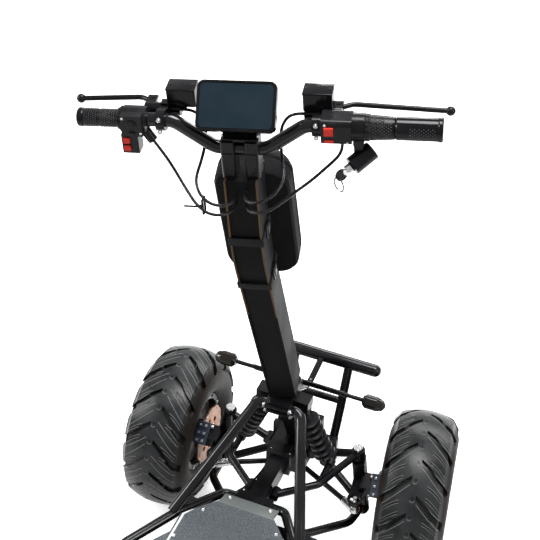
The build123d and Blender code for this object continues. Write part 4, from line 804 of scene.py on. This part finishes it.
frame_bolts = bmesh.new()
across = Vector((1, 0, 0))
rake_back = Vector((0, -math.cos(RAKE), -math.sin(RAKE)))
for along in (0.184, 0.207):
    for side in (-1, 1):
        outward = across * side
        point = STEERING_FOOT + steering_axis * along + rake_back * 0.0485 + outward * 0.0252
        washer(frame_bolts, point, outward, 0.0056, 0.0002, 0.0012)
        bolt(frame_bolts, point + outward * 0.001, outward, COLLAR_BOLT)
for x in (-30, 30):
    for z in (180, 290):
        bolt(frame_bolts, spot(x, -232.1, z), (0, -1, 0), PLATE_BOLT)
    bolt(frame_bolts, spot(x * 0.7, -88.9, 297), (0, 1, 0), BULKHEAD_BOLT)
make_piece("frame_bolts", frame_bolts, "frame", "steel")

# Screws along the deck's edges, the first pair on the lower nose
deck_screws = bmesh.new()
for x, y in ((44, 246), (78, 300), (104, 380), (104, 480), (104, 580), (100, 684), (40, 690)):
    top = 306 if y < 264 else 312.05
    for side in (-1, 1):
        bolt(deck_screws, spot(side * x, -y, top), (0, 0, 1), DECK_SCREW)
make_piece("deck_screws", deck_screws, "frame", "steel")

# ---------------------------------------------------------------- bag

# Rounded outlines, one in front of the other, from the flat back along the column
back_low = Vector((0, FRONT_AXLE_Y - 0.1672, 0.852))
back_top = Vector((0, FRONT_AXLE_Y - 0.2197, 1.104))
back_middle = (back_low + back_top) / 2
upward = (back_top - back_low).normalized()
forward = Vector((0, upward.z, -upward.y))
bag_length = (back_top - back_low).length

# Depth from the column, half width, distance from each end, corner radius
SHELL = (
    (0.0006, 0.0600, 0.0030, 0.036), (0.0060, 0.0635, 0.0005, 0.038),
    (0.0300, 0.0638, 0.0003, 0.038), (0.0330, 0.0618, 0.0022, 0.037),
    (0.0360, 0.0618, 0.0022, 0.037), (0.0390, 0.0636, 0.0004, 0.038),
    (0.0460, 0.0630, 0.0008, 0.038), (0.0600, 0.0570, 0.0080, 0.036),
    (0.0740, 0.0480, 0.0190, 0.030), (0.0810, 0.0420, 0.0255, 0.025),
    (0.0850, 0.0340, 0.0350, 0.018),
)
bag = bmesh.new()
loops = []
for depth, half, end, radius in SHELL:
    outline = rounded_sheet(2 * half, bag_length - 2 * end, radius, 8)
    face = max(outline.faces, key=lambda face: face.calc_area())
    points = [vert.co.copy() for vert in face.verts]
    outline.free()
    # Every outline starts at the same corner, so that the loops join without a twist
    turns = [math.atan2(point.y - 0.001, point.x - 0.001) for point in points]
    first = turns.index(min(turns))
    points = points[first:] + points[:first]
    middle = back_middle + forward * depth
    loops.append([bag.verts.new(middle + Vector((p.x, 0, 0)) + upward * p.y) for p in points])
for first, second in zip(loops, loops[1:]):
    edges = []
    for loop in (first, second):
        for a, b in zip(loop, loop[1:] + loop[:1]):
            edges.append(bag.edges.get((a, b)) or bag.edges.new((a, b)))
    bmesh.ops.bridge_loops(bag, edges=edges)
bag.faces.new(loops[0])
front_face = bag.faces.new(loops[-1])
bmesh.ops.inset_region(bag, faces=[front_face], thickness=0.006, depth=0.0)
bmesh.ops.recalc_face_normals(bag, faces=bag.faces)
shell = make_piece("front_bag_shell", bag, "steering", "bag_shell", turned=True)
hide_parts("front_bag")

# ---------------------------------------------------------------- straps

# The bands follow the column, so their outline comes from the solid ones, with soft edges
bands = bmesh.new()
bands.from_mesh(frame["nodes"]["bag_straps"].data)
bmesh.ops.remove_doubles(bands, verts=bands.verts, dist=1e-6)
bmesh.ops.dissolve_limit(bands, angle_limit=math.radians(1), verts=bands.verts, edges=bands.edges)
folds = [edge for edge in bands.edges if edge.is_manifold]
sharp = [edge for edge in folds if edge.calc_face_angle() > BAND_EDGE_FROM]
bevel_edges(bands, sharp, 0.0005, 2)
webbing = make_piece("bag_strap_webbing", bands, "steering", "strap")
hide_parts("bag_straps")

# Each buckle's bars: the middle from the buckle's own, the size, and how far the edges are rounded
BUCKLE = (
    ((0, -0.011, 0), (0.003, 0.0035, 0.021), 0.001),
    ((0, 0, 0), (0.003, 0.0035, 0.021), 0.001),
    ((0, 0.011, 0), (0.003, 0.0035, 0.021), 0.001),
    ((0, 0, -0.0096), (0.003, 0.0255, 0.0028), 0.001),
    ((0, 0, 0.0096), (0.003, 0.0255, 0.0028), 0.001),
    ((0.0012, 0.004, 0), (0.0022, 0.018, 0.0155), 0.0008),
)
buckles = bmesh.new()
for y, z, lean in ((-250, 1012, 5), (-222, 902, 20)):
    lean_turn = Matrix.Rotation(math.radians(lean), 4, "X")
    for offset, size, edge in BUCKLE:
        rounded_box(buckles, spot(30.8, y, z) + lean_turn @ Vector(offset), size, edge, lean_turn)
make_piece("strap_buckles", buckles, "steering", "black_plastic", turned=True)

# ---------------------------------------------------------------- cables

# The body that carries each cord, its length in metres, and its control points in millimetres
CABLE_ROUTES = {
    "cable_left_switch": ("steering", 0.216, (
        (-139.3, -260.0, 1184.4), (-124.3, -260.0, 1158.4), (-107.0, -271.0, 1136.0),
        (-88.0, -292.0, 1119.0), (-68.7, -313.4, 1105.0), (-52.3, -324.9, 1098.0),
        (-38.5, -327.3, 1094.0), (-25.1, -323.2, 1091.0), (-15.2, -313.3, 1089.0),
        (-10.0, -300.3, 1088.0), (-10.0, -286.3, 1088.0),
    )),
    "hose_left_brake": ("steering", 0.2464, (
        (-97.7, -224.0, 1220.0), (-82.0, -224.0, 1220.0), (-68.0, -227.0, 1212.0),
        (-60.0, -232.0, 1195.0), (-60.0, -240.0, 1174.0), (-64.0, -258.0, 1153.0),
        (-70.8, -287.7, 1134.0), (-64.6, -304.6, 1124.0), (-53.9, -316.5, 1116.5),
        (-39.3, -323.0, 1111.0), (-25.4, -321.1, 1107.5), (-14.1, -312.9, 1105.0),
        (-8.0, -300.3, 1104.0), (-8.0, -286.3, 1104.0),
    )),
    "cable_right_switch": ("steering", 0.2355, (
        (160.0, -260.0, 1198.0), (160.0, -260.0, 1184.0), (154.0, -263.0, 1170.0),
        (138.0, -270.0, 1156.0), (114.0, -284.0, 1138.0), (90.0, -297.0, 1124.0),
        (68.7, -313.4, 1113.0), (52.3, -324.9, 1106.0), (38.5, -327.3, 1102.0),
        (25.1, -323.2, 1099.0), (15.2, -313.3, 1097.0), (10.0, -300.3, 1096.0),
        (10.0, -286.3, 1096.0),
    )),
    "hose_right_brake": ("steering", 0.2414, (
        (97.7, -224.0, 1220.0), (82.0, -224.0, 1220.0), (68.0, -227.0, 1212.0),
        (60.0, -232.0, 1195.0), (60.0, -240.0, 1175.0), (64.0, -258.0, 1156.0),
        (70.8, -287.7, 1142.0), (64.6, -304.6, 1132.5), (53.9, -316.5, 1125.0),
        (39.3, -323.0, 1119.5), (25.4, -321.1, 1115.5), (14.1, -312.9, 1113.0),
        (8.0, -300.3, 1112.0), (8.0, -286.3, 1112.0),
    )),
    "cable_spine_frame": ("frame", 0.2711, (
        (-30.0, -60.3, 246.0), (-30.0, -84.0, 246.0), (-35.0, -118.0, 241.0),
        (-47.0, -154.0, 240.0), (-60.0, -188.0, 249.0), (-67.0, -224.0, 264.0),
        (-65.0, -262.0, 270.0), (-60.0, -292.0, 268.0), (-60.0, -321.7, 268.0),
    )),
}
for name, (body, length, route) in CABLE_ROUTES.items():
    curve = bpy.data.curves.new(f"{name}_cord", "CURVE")
    curve.dimensions = "3D"
    curve.resolution_u = 8
    curve.bevel_depth = CABLE_DIAMETER / 2
    curve.bevel_resolution = 4
    curve.use_fill_caps = True
    line = curve.splines.new("NURBS")
    line.points.add(len(route) - 1)
    points = [spot(*point) for point in route]
    if body == "steering":
        points = [turned_bar @ point for point in points]
    for control, point in zip(line.points, points):
        control.co = (*point, 1)
    line.order_u = 3
    line.use_endpoint_u = True
    cord = bpy.data.objects.new(f"{name}_cord", curve)
    bpy.context.scene.collection.objects.link(cord)
    curve.materials.append(finishes["cable"].material)
    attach(cord, body)
    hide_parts(name)

# A tie that holds the left cables together, its tail left long
TIE = (
    ((0, 0, -0.0128), (0.0038, 0.0150, 0.0012), 0.0005),
    ((0, 0, 0.0128), (0.0038, 0.0150, 0.0012), 0.0005),
    ((0, -0.0072, 0), (0.0038, 0.0012, 0.0268), 0.0005),
    ((0, 0.0072, 0), (0.0038, 0.0012, 0.0268), 0.0005),
    ((-0.002, -0.0092, 0.004), (0.0060, 0.0046, 0.0052), 0.001),
    ((-0.0165, -0.0100, 0.004), (0.0250, 0.0012, 0.0034), 0.0005),
)
tie = bmesh.new()
for offset, size, edge in TIE:
    rounded_box(tie, spot(-53, -320.7, 1107.2) + Vector(offset), size, edge)
make_piece("cable_tie", tie, "steering", "black_plastic", turned=True)

# ---------------------------------------------------------------- floor, light and camera

ground = bpy.data.meshes.new("floor")
floor_shape = bmesh.new()
bmesh.ops.create_grid(floor_shape, x_segments=1, y_segments=1, size=30)
floor_shape.to_mesh(ground)
floor_shape.free()
floor = bpy.data.objects.new("floor", ground)
bpy.context.scene.collection.objects.link(floor)
floor_finish = Finish(
    "floor", Base_Color=(0.9, 0.9, 0.9, 1), Roughness=0.9, Specular_IOR_Level=0.0,
    Emission_Strength=1.0,
)
glow = floor_finish.ray("Camera") * 0.4 + floor_finish.ray("Glossy") * 0.2
floor_finish.set("Emission Color", floor_finish.mix(glow, (0.0, 0.0, 0.0), (1.0, 1.0, 1.0)))
ground.materials.append(floor_finish.material)

# A white backdrop to the camera, dimmer in reflections and as a light
world = bpy.data.worlds.new("studio")
bpy.context.scene.world = world
world.use_nodes = True
studio = Shader(world.node_tree)
background = studio.tree.nodes["Background"]
studio.plug(background.inputs["Color"], (0.95, 0.97, 1.0, 1))
studio.plug(background.inputs["Strength"], 0.38)
white = studio.node("ShaderNodeBackground", values={"Color": (1, 1, 1, 1), "Strength": 1.0})
shown = studio.maths("MAXIMUM", studio.ray("Camera"), studio.ray("Transmission"))
shown = studio.maths("MAXIMUM", shown, studio.ray("Glossy") * 0.5)
blend = {0: shown, 1: Signal(studio, background.outputs[0]), 2: white}
mixed = studio.node("ShaderNodeMixShader", values=blend)
studio.plug(studio.tree.nodes["World Output"].inputs["Surface"], mixed)


def lamp(name, place, aim, size, power):
    """A rectangular area lamp turned towards a point."""
    data = bpy.data.lights.new(name, "AREA")
    data.shape = "RECTANGLE"
    data.size, data.size_y = size
    data.energy = power
    light = bpy.data.objects.new(name, data)
    bpy.context.scene.collection.objects.link(light)
    light.location = place
    light.rotation_euler = (Vector(aim) - Vector(place)).to_track_quat("-Z", "Y").to_euler()


lamp("overhead", (0.2, 0.6, 3.4), (0, 0, 0.4), (1.4, 1.0), 120)
lamp("left_strip", (-2.6, -0.6, 2.2), (0, 0, 0.6), (0.4, 2.0), 90)
lamp("right_strip", (2.9, -0.2, 2.2), (0, 0, 0.6), (0.3, 1.8), 36)
lamp("behind", (0.2, 2.8, 1.9), (0, 0, 0.7), (2.4, 0.5), 56)

# The photo's camera, with its angles in radians
EYE = (0.651892, FRONT_AXLE_Y - 1.783663, 2.335144)
YAW, PITCH, ROLL = 0.383, 0.703, 0.021
camera_data = bpy.data.cameras.new("camera")
camera_data.lens = 86.4
camera_data.clip_end = 100
camera = bpy.data.objects.new("camera", camera_data)
bpy.context.scene.collection.objects.link(camera)
level_sight = Vector((-math.sin(YAW), math.cos(YAW), 0))
sight = level_sight * math.cos(PITCH) - UP * math.sin(PITCH)
level_right = Vector((math.cos(YAW), math.sin(YAW), 0))
level_up = level_right.cross(sight)
right = around((level_right, level_up), ROLL)
upper = around((level_up, -level_right), ROLL)
turn = Matrix((right, upper, -sight)).transposed().to_4x4()
camera.matrix_world = Matrix.Translation(EYE) @ turn
bpy.context.scene.camera = camera
bpy.context.scene.view_settings.view_transform = "Standard"
